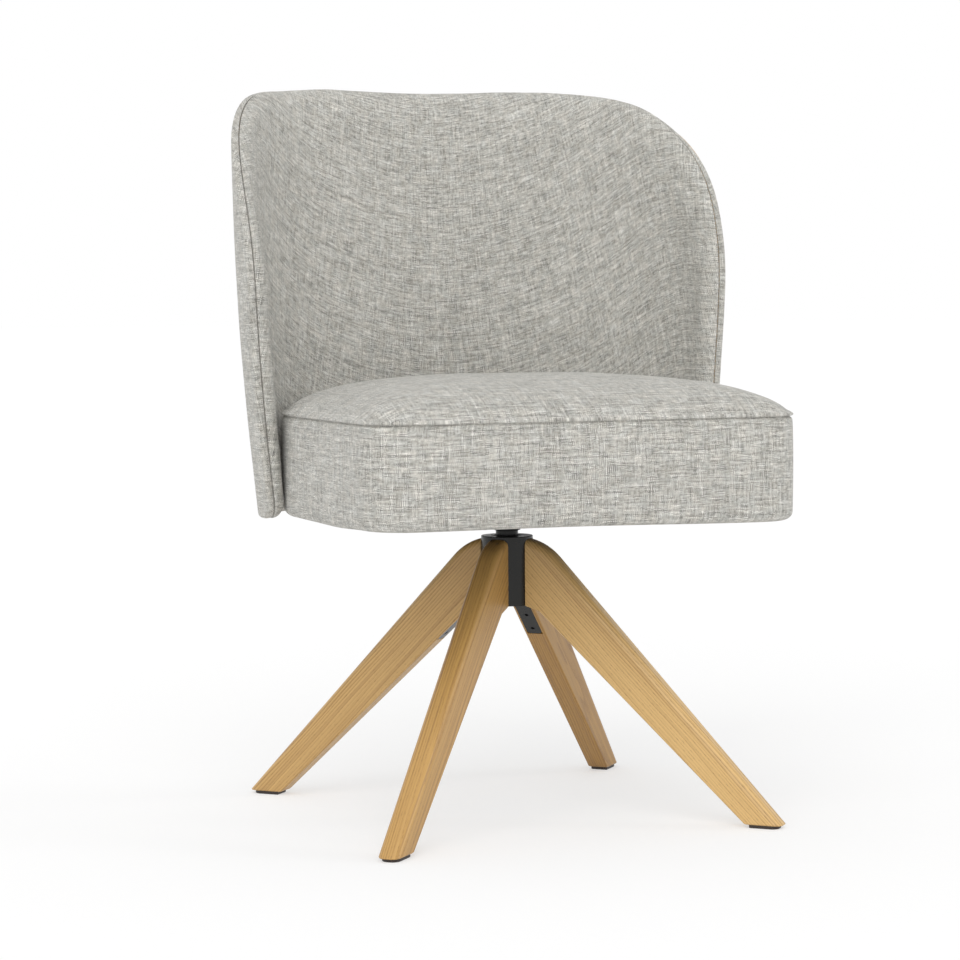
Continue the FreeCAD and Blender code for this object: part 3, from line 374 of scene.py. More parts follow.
@dataclass(frozen=True)
class MelangeWeave:
    """Plain weave of mottled yarns, laid out by a UV map in metres."""

    name: str = "melange_weave"
    uv_map: str = "weave"
    pitch: float = 1.15 * MM
    sway: float = 1.0
    sway_length: float = 34 * MM
    slub_length: float = 26 * MM
    fleck_length: float = 6 * MM
    slub_contrast: float = 1.55
    fleck_contrast: float = 1.35
    own_contrast: float = 0.24
    warp_share: float = 0.7
    mottle_length: float = 30 * MM
    mottle_contrast: float = 0.08
    lane_step: float = 7.31
    sway_width: float = 6.9 * MM
    yarn_shadow: float = 0.14
    balance: float = 0.43
    tone_steps: tuple[float, float, float] = (0.12, 0.52, 1.0)
    tint_length: float = 12 * MM
    dark: Colour = (0.155, 0.153, 0.141)
    middle: Colour = (0.425, 0.420, 0.388)
    light: Colour = (0.80, 0.795, 0.755)
    warm: Colour = (1.02, 0.995, 0.97)
    tint_range: tuple[float, float] = (0.35, 0.65)
    yarn_depth: float = 0.28 * MM
    yarn_relief: float = 0.55
    shine: float = 0.25
    sheen: float = 0.2
    sheen_roughness: float = 0.5
    roughness: float = 0.93

    def yarn(self, bench: ShaderBench, across: Socket, along: Socket, seed: float,
             contrast: float) -> tuple[Socket, Socket]:
        """One set of parallel yarns.

        Args:
            bench: The material's bench.
            across: Yarn count, whose whole part numbers the yarns.
            along: Distance along the yarns in metres.
            seed: Offset that keeps warp and weft apart.
            contrast: How strongly the yarns' tone varies.

        Returns:
            The yarns' tone round 0, and their rounded height across.
        """
        number = bench.math("FLOOR", across)
        lane = bench.math("MULTIPLY_ADD", number, self.lane_step, seed)
        own = bench.random(bench.math("ADD", number, seed))
        tone = bench.math("MULTIPLY_ADD", own, self.own_contrast * contrast,
                          -0.5 * self.own_contrast * contrast)
        for length, share, offset in ((self.slub_length, self.slub_contrast, 0.0),
                                      (self.fleck_length, self.fleck_contrast, 3.0)):
            spots = bench.noise(bench.combine(lane, bench.math("DIVIDE", along, length),
                                              seed + offset), 1.0, 1.0)
            spots = bench.math("SUBTRACT", spots, 0.5)
            tone = bench.math("MULTIPLY_ADD", spots, share * contrast, tone)
        ridge = bench.math("SINE", bench.math("MULTIPLY", bench.math("FRACT", across), math.pi))
        return tone, ridge

    def build(self) -> bpy.types.Material:
        """Make the material.

        Returns:
            The finished material.
        """
        bench = ShaderBench(self.name)
        plan = bench.uv(self.uv_map)
        u, v, _ = bench.split(plan)
        counts = []
        for across, along, seed in ((u, v, 5.0), (v, u, 8.0)):
            wander = bench.noise(bench.combine(
                bench.math("DIVIDE", across, self.sway_width),
                bench.math("DIVIDE", along, self.sway_length), seed), 1.0, 1.0)
            counts.append(bench.math("MULTIPLY_ADD", wander, self.sway,
                                     bench.math("DIVIDE", across, self.pitch)))
        warp_tone, warp_ridge = self.yarn(bench, counts[0], v, 11.0, self.warp_share)
        weft_tone, weft_ridge = self.yarn(bench, counts[1], u, 41.0, 1.0)
        cell = bench.math("ADD", bench.math("FLOOR", counts[0]), bench.math("FLOOR", counts[1]))
        over = bench.math("FLOORED_MODULO", cell, 2.0)
        under = bench.math("SUBTRACT", 1.0, over)
        tone = bench.math("ADD", bench.math("MULTIPLY", warp_tone, over),
                          bench.math("MULTIPLY", weft_tone, under))
        shadow = bench.math("ADD", bench.math("MULTIPLY", warp_ridge, over),
                            bench.math("MULTIPLY", weft_ridge, under))
        mottle = bench.noise(plan, 1.0 / self.mottle_length, 3.0, 0.6)
        tone = bench.math("MULTIPLY_ADD", mottle, self.mottle_contrast, tone)
        tone = bench.math("MULTIPLY_ADD", shadow, self.yarn_shadow, tone)
        tone = bench.math("ADD", tone, self.balance - 0.5 * self.mottle_contrast)
        darkest, even, palest = self.tone_steps
        low = bench.blend(bench.spread(tone, darkest, even), self.dark, self.middle)
        colour = bench.blend(bench.spread(tone, even, palest), low, self.light)
        tint = bench.noise(plan, 1.0 / self.tint_length, 1.0)
        tinted = bench.add("ShaderNodeMix", {0: 1.0, 6: colour, 7: (*self.warm, 1.0)},
                           data_type="RGBA", blend_type="MULTIPLY").outputs[2]
        colour = bench.blend(bench.spread(tint, *self.tint_range), colour, tinted)
        height = bench.math("MULTIPLY", warp_ridge, weft_ridge)
        height = bench.math("MULTIPLY_ADD", over, bench.math("MULTIPLY", warp_ridge, 0.5),
                            bench.math("MULTIPLY", height, 0.5))
        bench.set(base_color=colour, roughness=self.roughness, sheen_weight=self.sheen,
                  sheen_roughness=self.sheen_roughness, specular_ior_level=self.shine)
        bench.bump(height, self.yarn_depth, self.yarn_relief)
        return bench.material


@dataclass(frozen=True)
class Oak:
    """Natural oak under a clear satin lacquer, each board with its own figure."""

    name: str = "oak"
    turn: tuple[float, float, float] = (0.0, 0.0, 0.0)
    shift: float = 0.0
    ring_lean: float = 40.0
    wander: float = 9 * MM
    streaks: float = 0.3
    # The next two fields darken or lighten a whole leg: partly the board's own tone, partly painted
    # shade and painted light for how brightly that leg is lit.
    tone_and_painted_shade: float = 0.0
    tint: Colour = (1.0, 1.0, 1.0)
    ring_width: float = 3.0 * MM
    pore_length: float = 7 * MM
    pore_width: float = 0.42 * MM
    ripple: float = 4 * MM
    ring_weight: float = 0.70
    fibre_weight: float = 0.55
    drift_weight: float = 0.30
    tone_middle: float = 0.33
    relief: float = 0.12 * MM
    pale: Colour = (0.640, 0.410, 0.172)
    warm: Colour = (0.400, 0.222, 0.075)
    pore: Colour = (0.190, 0.095, 0.030)
    heart: Colour = (0.270, 0.140, 0.045)
    roughness: float = 0.42
    lacquer: float = 0.10
    lacquer_roughness: float = 0.35
    drift_grain: tuple[float, float, float] = (3.2, 15.0, 2.0)
    ripple_grain: tuple[float, float, float] = (7.0, 90.0, 2.0)
    fibre_grain: tuple[float, float, float] = (16.0, 640.0, 3.0)
    streak_grain: tuple[float, float, float] = (1.4, 190.0, 1.0)
    pore_strength: float = 0.8
    pore_range: tuple[float, float] = (0.58, 0.70)
    streak_range: tuple[float, float] = (0.52, 0.70)
    early_range: tuple[float, float] = (0.05, 0.62)
    tone_range: tuple[float, float] = (0.05, 0.85)

    def build(self) -> bpy.types.Material:
        """Make the material, with the grain along the turned X axis.

        Returns:
            The finished material.
        """
        bench = ShaderBench(self.name)
        x, y, z = bench.split(bench.place(self.turn))
        x = bench.math("ADD", x, self.shift)

        def stretched(along: float, across: float, detail: float) -> Socket:
            """Noise with its own fineness along and across the grain.

            Args:
                along: Fineness along the grain.
                across: Fineness across it.
                detail: Its octaves.

            Returns:
                A number from 0 to 1.
            """
            return bench.noise(bench.combine(
                bench.math("MULTIPLY", x, along), bench.math("MULTIPLY", y, across),
                bench.math("MULTIPLY", z, across)), 1.0, detail)

        drift = stretched(*self.drift_grain)
        lean = math.radians(self.ring_lean)
        depth = bench.math("MULTIPLY_ADD", z, math.cos(lean),
                           bench.math("MULTIPLY", y, math.sin(lean)))
        depth = bench.math("MULTIPLY_ADD", drift, self.wander, depth)
        depth = bench.math("MULTIPLY_ADD", stretched(*self.ripple_grain), self.ripple, depth)
        rings = bench.math("DIVIDE", depth, self.ring_width)
        own = bench.random(bench.math("FLOOR", rings))
        early = bench.spread(bench.math("FRACT", rings), *self.early_range, 1.0, 0.0)
        line = bench.math("MULTIPLY", early, bench.math("MULTIPLY_ADD", own, 0.75, 0.25))
        fibre = stretched(*self.fibre_grain)
        tone = bench.math("MULTIPLY_ADD", line, self.ring_weight,
                          bench.math("MULTIPLY", fibre, self.fibre_weight))
        # Adds the board's darkening: partly its own tone, partly painted shade for how that leg is
        # lit.
        tone = bench.math("MULTIPLY_ADD", drift, self.drift_weight,
                          bench.math("ADD", tone, self.tone_and_painted_shade - self.tone_middle))
        # The board's tint: partly its own colour, partly painted shade and painted light for how that
        # leg is lit.
        pale, warm = (tuple(part * share for part, share in zip(colour, self.tint))
                      for colour in (self.pale, self.warm))
        wood = bench.blend(bench.spread(tone, *self.tone_range), pale, warm)
        dark = bench.spread(stretched(*self.streak_grain), *self.streak_range)
        dark = bench.math("MULTIPLY", dark, self.streaks)
        wood = bench.blend(dark, wood, self.heart)
        pores = bench.noise(bench.combine(
            bench.math("DIVIDE", x, self.pore_length), bench.math("DIVIDE", y, self.pore_width),
            bench.math("DIVIDE", z, self.pore_width)), 1.0, 1.0)
        open_pores = bench.math("MULTIPLY", bench.spread(pores, *self.pore_range), bench.math(
            "MULTIPLY_ADD", early, 0.75, 0.18))
        colour = bench.blend(bench.math("MULTIPLY", open_pores, self.pore_strength), wood,
                             self.pore)
        rough = bench.math("MULTIPLY_ADD", open_pores, 0.25, self.roughness)
        bench.set(base_color=colour, roughness=rough, coat_weight=self.lacquer,
                  coat_roughness=self.lacquer_roughness)
        height = bench.math("MULTIPLY_ADD", open_pores, -self.pore_strength,
                            bench.math("MULTIPLY", fibre, 0.25))
        bench.bump(height, self.relief, 0.7)
        return bench.material


@dataclass(frozen=True)
class CoatedMetal:
    """Metal or hard plastic with a fine grain in its coat."""

    name: str
    colour: Colour
    roughness: float
    metallic: float = 0.0
    grain: float = 900.0
    grain_depth: float = 0.05 * MM
    wear: float = 0.25
    specular: float = 0.5
    wear_scale: float = 28.0
    wear_range: tuple[float, float] = (0.3, 0.7)
    lightening: tuple[float, float] = (1.7, 0.006)
    gloss_change: tuple[float, float] = (-0.05, 0.06)

    def build(self) -> bpy.types.Material:
        """Make the material.

        Returns:
            The finished material.
        """
        bench = ShaderBench(self.name)
        place = bench.place()
        fine = bench.noise(place, self.grain, 2.0)
        broad = bench.noise(place, self.wear_scale, 2.0)
        share = bench.spread(broad, *self.wear_range, 0.0, self.wear)
        factor, lift = self.lightening
        lighter = tuple(min(1.0, channel * factor + lift) for channel in self.colour)
        rough = (self.roughness + change for change in self.gloss_change)
        bench.set(base_color=bench.blend(share, self.colour, lighter), metallic=self.metallic,
                  specular_ior_level=self.specular,
                  roughness=bench.spread(broad, *self.wear_range, *rough))
        bench.bump(fine, self.grain_depth, 0.5)
        return bench.material


@dataclass(frozen=True)
class LooseFibre:
    """Foam, plywood, thread or non-woven cloth: a mottled matt surface."""

    name: str
    colour: Colour
    second: Colour
    scale: float
    depth: float
    stretch: tuple[float, float, float] = (1.0, 1.0, 1.0)
    cell_range: tuple[float, float] = (0.35, 0.65)
    roughness: float = 0.9

    def build(self) -> bpy.types.Material:
        """Make the material.

        Returns:
            The finished material.
        """
        bench = ShaderBench(self.name)
        place = bench.place(scale=self.stretch)
        cells = bench.noise(place, self.scale, 3.0, 0.6)
        share = bench.spread(cells, *self.cell_range)
        bench.set(base_color=bench.blend(share, self.colour, self.second),
                  roughness=self.roughness)
        bench.bump(cells, self.depth, 0.6)
        return bench.material


def made(kind: type, *given: "str | float | Colour", **named: float) -> bpy.types.Material:
    """Dataclass field that holds the material of one finish."""
    return field(default_factory=lambda: kind(*given, **named).build())


@dataclass
class Finishes:
    """Every finish of the chair, made once."""

    upholstery: bpy.types.Material = made(MelangeWeave)
    metal: bpy.types.Material = made(
        CoatedMetal, "black_powder_coat", (0.007, 0.007, 0.0055), 0.28, specular=0.36)
    spindle: bpy.types.Material = made(
        CoatedMetal, "black_oxide_steel", (0.008, 0.008, 0.007), 0.20, 0.0, 500.0, 0.01 * MM,
        specular=0.26)
    glide: bpy.types.Material = made(
        CoatedMetal, "brown_glide_plastic", (0.026, 0.017, 0.012), 0.48)
    screw: bpy.types.Material = made(
        CoatedMetal, "black_zinc_screws", (0.035, 0.035, 0.036), 0.38, 0.8, 700.0, 0.01 * MM)
    zinc: bpy.types.Material = made(
        CoatedMetal, "dark_zinc", (0.17, 0.17, 0.175), 0.36, 1.0, 700.0, 0.01 * MM)
    bush: bpy.types.Material = made(CoatedMetal, "bearing_polymer", (0.03, 0.03, 0.03), 0.5)
    plywood: bpy.types.Material = made(
        LooseFibre, "plywood", (0.58, 0.42, 0.25), (0.46, 0.31, 0.17), 60.0, 0.1 * MM,
        (0.3, 4.0, 8.0))
    foam: bpy.types.Material = made(
        LooseFibre, "foam", (0.80, 0.74, 0.52), (0.66, 0.58, 0.36), 900.0, 0.3 * MM)
    dust_cloth: bpy.types.Material = made(
        LooseFibre, "dust_cloth", (0.016, 0.016, 0.017), (0.034, 0.034, 0.036), 700.0, 0.15 * MM)
    thread: bpy.types.Material = made(
        LooseFibre, "seam_thread", (0.26, 0.25, 0.22), (0.36, 0.345, 0.31), 2500.0, 0.04 * MM)

    def oak_for(self, board: "OakBoard", angle: float, fall: float) -> bpy.types.Material:
        """Oak whose grain runs down one leg.

        Args:
            board: The leg's board.
            angle: The leg's direction in plan, in degrees.
            fall: The leg's slope under the horizontal, in degrees.

        Returns:
            The finished material.
        """
        turn = (Matrix.Rotation(-math.radians(fall), 3, "Y")
                @ Matrix.Rotation(-math.radians(angle), 3, "Z")).to_euler("XYZ")
        return Oak(name="oak_" + board.leg, turn=tuple(turn), shift=board.shift,
                   ring_lean=board.ring_lean, wander=board.wander, streaks=board.streaks,
                   tone_and_painted_shade=board.tone_and_painted_shade, tint=board.tint).build()


@dataclass(frozen=True)
class OakBoard:
    """What sets one leg's board apart: where its rings lie and how dark it is, partly its own tone and
    partly painted shade and painted light for how that leg is lit.
    """

    leg: str
    shift: float
    ring_lean: float
    wander: float
    streaks: float
    tone_and_painted_shade: float
    tint: Colour


# Each leg's darkening and tint are partly board tone and partly painted light: the rear right leg is
# darkened as painted shade, and the front right leg is lightened as painted light.
OAK_BOARDS = (
    OakBoard("front_right", 0.10, 22.0, 9 * MM, 0.25, -0.04, (1.05, 1.08, 1.04)),
    OakBoard("rear_right", 0.77, 82.0, 16 * MM, 0.35, 0.12, (0.70, 0.61, 0.34)),
    OakBoard("rear_left", 1.31, 28.0, 6 * MM, 0.25, 0.04, (0.91, 0.90, 0.80)),
    OakBoard("front_left", 2.03, 64.0, 7 * MM, 0.75, 0.02, (0.86, 0.79, 0.58)),
)


def finished(piece: bpy.types.Object, material: bpy.types.Material) -> bpy.types.Object:
    """Give a piece its one material.

    Args:
        piece: The piece to dress.
        material: Its finish.

    Returns:
        The same piece.
    """
    piece.data.materials.clear()
    piece.data.materials.append(material)
    return piece


def smooth_faces(piece: bpy.types.Object, sharp_over: float = 180.0) -> None:
    """Shade smooth, apart from edges over an angle.

    Args:
        piece: The piece.
        sharp_over: The angle in degrees.
    """
    for face in piece.data.polygons:
        face.use_smooth = True
    if sharp_over < 180.0:
        piece.data.set_sharp_from_angle(angle=math.radians(sharp_over))


def linked(name: str, mesh: bpy.types.Mesh) -> bpy.types.Object:
    """Put a mesh into the scene.

    Args:
        name: The object's name.
        mesh: The mesh.

    Returns:
        The object.
    """
    piece = bpy.data.objects.new(name, mesh)
    bpy.context.scene.collection.objects.link(piece)
    return piece


def guide_mesh(name: str, points: np.ndarray, vectors: dict[str, np.ndarray],
               loop: bool = False) -> bpy.types.Object:
    """Points that a node tree reads.

    Args:
        name: The name of the piece that the tree makes of them.
        points: The points, one row each.
        vectors: Named vectors, one row for each point.
        loop: True where the points form a closed path.

    Returns:
        The guide object.
    """
    mesh = bpy.data.meshes.new(name)
    count = len(points)
    edges = [(index, (index + 1) % count) for index in range(count)] if loop else []
    mesh.from_pydata(points.tolist(), edges, [])
    for label, rows in vectors.items():
        layer = mesh.attributes.new(label, "FLOAT_VECTOR", "POINT")
        layer.data.foreach_set("vector", rows.reshape(-1).astype(np.float32))
    return linked(name, mesh)


def apply_modifiers(piece: bpy.types.Object) -> None:
    """Bake a piece's modifiers into its mesh and drop them.

    Args:
        piece: The piece.
    """
    depsgraph = bpy.context.evaluated_depsgraph_get()
    mesh = bpy.data.meshes.new_from_object(piece.evaluated_get(depsgraph), depsgraph=depsgraph)
    piece.modifiers.clear()
    old = piece.data
    piece.data = mesh
    bpy.data.meshes.remove(old)


def subdivide(piece: bpy.types.Object, levels: int = 1) -> None:
    """Smooth a mesh with a subdivision surface and apply it.

    Args:
        piece: The piece.
        levels: How often each face is divided.
    """
    modifier = piece.modifiers.new("subdivision", "SUBSURF")
    modifier.levels = levels
    modifier.render_levels = levels
    apply_modifiers(piece)


def outward(piece: bpy.types.Object) -> None:
    """Turn every face of a closed mesh outwards.

    Args:
        piece: The piece.
    """
    work = bmesh.new()
    work.from_mesh(piece.data)
    bmesh.ops.recalc_face_normals(work, faces=work.faces)
    work.to_mesh(piece.data)
    work.free()


def points_of(piece: bpy.types.Object) -> np.ndarray:
    """Points of a mesh.

    Args:
        piece: The piece.

    Returns:
        The points, one row each.
    """
    flat = np.empty(len(piece.data.vertices) * 3, np.float64)
    piece.data.vertices.foreach_get("co", flat)
    return flat.reshape(-1, 3)


def set_points(piece: bpy.types.Object, points: np.ndarray) -> None:
    """Move the mesh's points."""
    piece.data.vertices.foreach_set("co", points.reshape(-1).astype(np.float32))
    piece.data.update()


Placer = Callable[[np.ndarray, np.ndarray], tuple[np.ndarray, np.ndarray]]


def patch_grid(border: np.ndarray) -> tuple[np.ndarray, np.ndarray, np.ndarray]:
    """Grid that fills a closed border by blending its four sides.

    Args:
        border: The border in plan, anticlockwise from the middle of its lower side.

    Returns:
        The grid's points, the border point that each one is or -1, and how central it is.
    """
    count = len(border)
    span = np.abs(border).max(axis=0)
    level = border[:, 1].mean()
    reach = border[: count // 4, 0] / span[0] - (border[: count // 4, 1] - level) / span[1]
    corner = int(np.argmax(reach))
    ring = np.roll(np.arange(count), corner)
    bottom, right = ring[: 2 * corner + 1], ring[2 * corner: count // 2 + 1]
    top = ring[count // 2: count // 2 + 2 * corner + 1][::-1]
    left = np.append(ring[count // 2 + 2 * corner:], ring[0])[::-1]
    u = np.linspace(0, 1, len(bottom))[None, :, None]
    v = np.linspace(0, 1, len(right))[:, None, None]
    low, high = border[bottom][None], border[top][None]
    grid = ((1 - v) * low + v * high + (1 - u) * border[left][:, None]
            + u * border[right][:, None]
            - (1 - v) * ((1 - u) * low[:, :1] + u * low[:, -1:])
            - v * ((1 - u) * high[:, :1] + u * high[:, -1:]))
    rim = np.full(grid.shape[:2], -1)
    rim[0], rim[-1], rim[:, 0], rim[:, -1] = bottom, top, left, right
    return grid, rim, (16 * u * (1 - u) * v * (1 - v))[..., 0]


@dataclass
class RingMesh:
    """A closed skin made of rings of points, with a grid across each end."""

    name: str
    rings: list[np.ndarray] = field(default_factory=list)
    weave: list[tuple[np.ndarray, np.ndarray]] = field(default_factory=list)
    firm: list[np.ndarray] = field(default_factory=list)

    def add(self, points: np.ndarray, before: np.ndarray, after: np.ndarray,
            firm: float) -> None:
        """Add one ring.

        Args:
            points: Its points, one row each.
            before: Weave coordinates used by the band before it, with one extra closing row.
            after: Weave coordinates used by the band after it, with one extra closing row.
            firm: How firmly a seam holds it.
        """
        self.rings.append(points)
        self.weave.append((before, after))
        self.firm.append(np.full(len(points), firm))

    def build(self, first: np.ndarray, last: np.ndarray, place_first: Placer,
              place_last: Placer) -> tuple[bpy.types.Object, np.ndarray]:
        """Make the mesh object.

        Args:
            first: The first ring in plan.
            last: The last ring in plan.
            place_first: Gives points and weave coordinates for plan points across the first.
            place_last: The same across the last.

        Returns:
            The object and, for each point, how firmly a seam holds it.
        """
        count = len(self.rings[0])
        step = np.arange(count)
        after = (step + 1) % count
        spots, firm, quads, weave = list(self.rings), list(self.firm), [], []
        for index in range(len(self.rings) - 1):
            low, high = index * count, (index + 1) * count
            quads.append(np.stack([low + step, low + after, high + after, high + step], axis=1))
            start, end = self.weave[index][1], self.weave[index + 1][0]
            weave.append(np.stack([start[:-1], start[1:], end[1:], end[:-1]], axis=1))
        total = len(self.rings) * count
        for index, flat, place in ((0, first, place_first),
                                   (len(self.rings) - 1, last, place_last)):
            grid, rim, central = patch_grid(flat)
            inner = rim < 0
            numbers = rim + index * count
            numbers[inner] = total + np.arange(inner.sum())
            total += int(inner.sum())
            points, plan = place(grid.reshape(-1, 2), central.reshape(-1))
            spots.append(points[inner.reshape(-1)])
            firm.append(np.full(int(inner.sum()), self.firm[index][0]))
            plan = plan.reshape(*rim.shape, 2)
            for source, kept in ((numbers, quads), (plan, weave)):
                kept.append(np.stack([source[:-1, :-1], source[:-1, 1:], source[1:, 1:],
                                      source[1:, :-1]], axis=2).reshape(-1, 4, *source.shape[2:]))
        mesh = bpy.data.meshes.new(self.name)
        mesh.from_pydata(np.vstack(spots).tolist(), [], np.vstack(quads).tolist())
        layer = mesh.uv_layers.new(name="weave")
        layer.data.foreach_set("uv", np.vstack(weave).reshape(-1).astype(np.float32))
        mesh.update()
        return linked(self.name, mesh), np.concatenate(firm)


@dataclass(frozen=True)
class PaddingPass:
    """Cloth pass that lets the wadding push a sewn cover out between its seams."""

    frames: int = 20
    pressure: float = 4.0
    most: float = 4 * MM
    stiffness: float = 25.0
    shear_share: float = 0.5
    bending: float = 0.6
    mass: float = 0.3
    quality: int = 6

    def run(self, piece: bpy.types.Object, pinned: np.ndarray) -> None:
        """Simulate a copy and take its moves over, none further than the limit.

        Args:
            piece: The cover, whose points move.
            pinned: For each point, 1 where a seam holds it and 0 where it is free.
        """
        copy = piece.copy()
        copy.data = piece.data.copy()
        bpy.context.scene.collection.objects.link(copy)
        group = copy.vertex_groups.new(name="seam")
        for weight in np.unique(pinned[pinned > 0]):
            rows = np.flatnonzero(pinned == weight)
            group.add([int(row) for row in rows], float(weight), "REPLACE")
        modifier = copy.modifiers.new("padding", "CLOTH")
        cloth = modifier.settings
        cloth.quality = self.quality
        cloth.mass = self.mass
        cloth.tension_stiffness = self.stiffness
        cloth.compression_stiffness = self.stiffness
        cloth.shear_stiffness = self.stiffness * self.shear_share
        cloth.bending_stiffness = self.bending
        cloth.use_pressure = True
        cloth.uniform_pressure_force = self.pressure
        cloth.vertex_group_mass = "seam"
        cloth.effector_weights.gravity = 0.0
        modifier.point_cache.frame_start = 1
        modifier.point_cache.frame_end = self.frames
        scene = bpy.context.scene
        for number in range(1, self.frames + 1):
            scene.frame_set(number)
        depsgraph = bpy.context.evaluated_depsgraph_get()
        result = copy.evaluated_get(depsgraph).to_mesh()
        flat = np.empty(len(result.vertices) * 3, np.float64)
        result.vertices.foreach_get("co", flat)
        start = points_of(piece)
        move = flat.reshape(-1, 3) - start
        length = np.linalg.norm(move, axis=1, keepdims=True)
        capped = move * (self.most * np.tanh(length / self.most) / np.maximum(length, 1e-9))
        log.info("%s padding moved %.1f mm on average", piece.name, 1000 * length.mean())
        set_points(piece, start + capped)
        scene.frame_set(1)
        data = copy.data
        bpy.data.objects.remove(copy)
        bpy.data.meshes.remove(data)


@dataclass
class TubOutline:
    """Plan outline with a straight front, straight sides and a rear that curves round."""

    half_width: float
    front: float
    rear: float
    front_round: float
    rear_arc: float
    side_end: float

    def points(self, count: int) -> tuple[np.ndarray, np.ndarray, float]:
        """Even points round the outline, from the middle of the front anticlockwise.

        Args:
            count: How many points, an even number.

        Returns:
            The points, the distance of each along the outline and its whole length.
        """
        w, r0, r2 = self.half_width, self.front_round, self.rear_arc
        to_centre = self.side_end - self.rear + r2
        r1 = (r2**2 - w**2 - to_centre**2) / (2.0 * (r2 - w))
        centre_y = self.rear - r2
        meet = math.atan2(to_centre, w - r1)
        lengths = [w - r0, r0 * math.pi / 2, self.side_end + self.front - r0, r1 * meet,
                   r2 * (math.pi / 2 - meet)]
        ends = np.cumsum(lengths)
        half = ends[-1]
        along = np.linspace(0.0, 2 * half, count, endpoint=False)
        mirrored = along > half
        s = np.where(mirrored, 2 * half - along, along)
        on_round = (s - ends[0]) / r0 - math.pi / 2
        on_corner = (s - ends[2]) / r1
        on_rear = meet + (s - ends[3]) / r2
        x = np.select(
            [s < ends[0], s < ends[1], s < ends[2], s < ends[3]],
            [s, w - r0 + r0 * np.cos(on_round), np.full_like(s, w),
             w - r1 + r1 * np.cos(on_corner)], r2 * np.cos(on_rear))
        y = np.select(
            [s < ends[0], s < ends[1], s < ends[2], s < ends[3]],
            [np.full_like(s, -self.front), -self.front + r0 + r0 * np.sin(on_round),
             -self.front + r0 + s - ends[1], self.side_end + r1 * np.sin(on_corner)],
            centre_y + r2 * np.sin(on_rear))
        x = np.where(mirrored, -x, x)
        return np.stack([x, y], axis=1), along, 2 * half


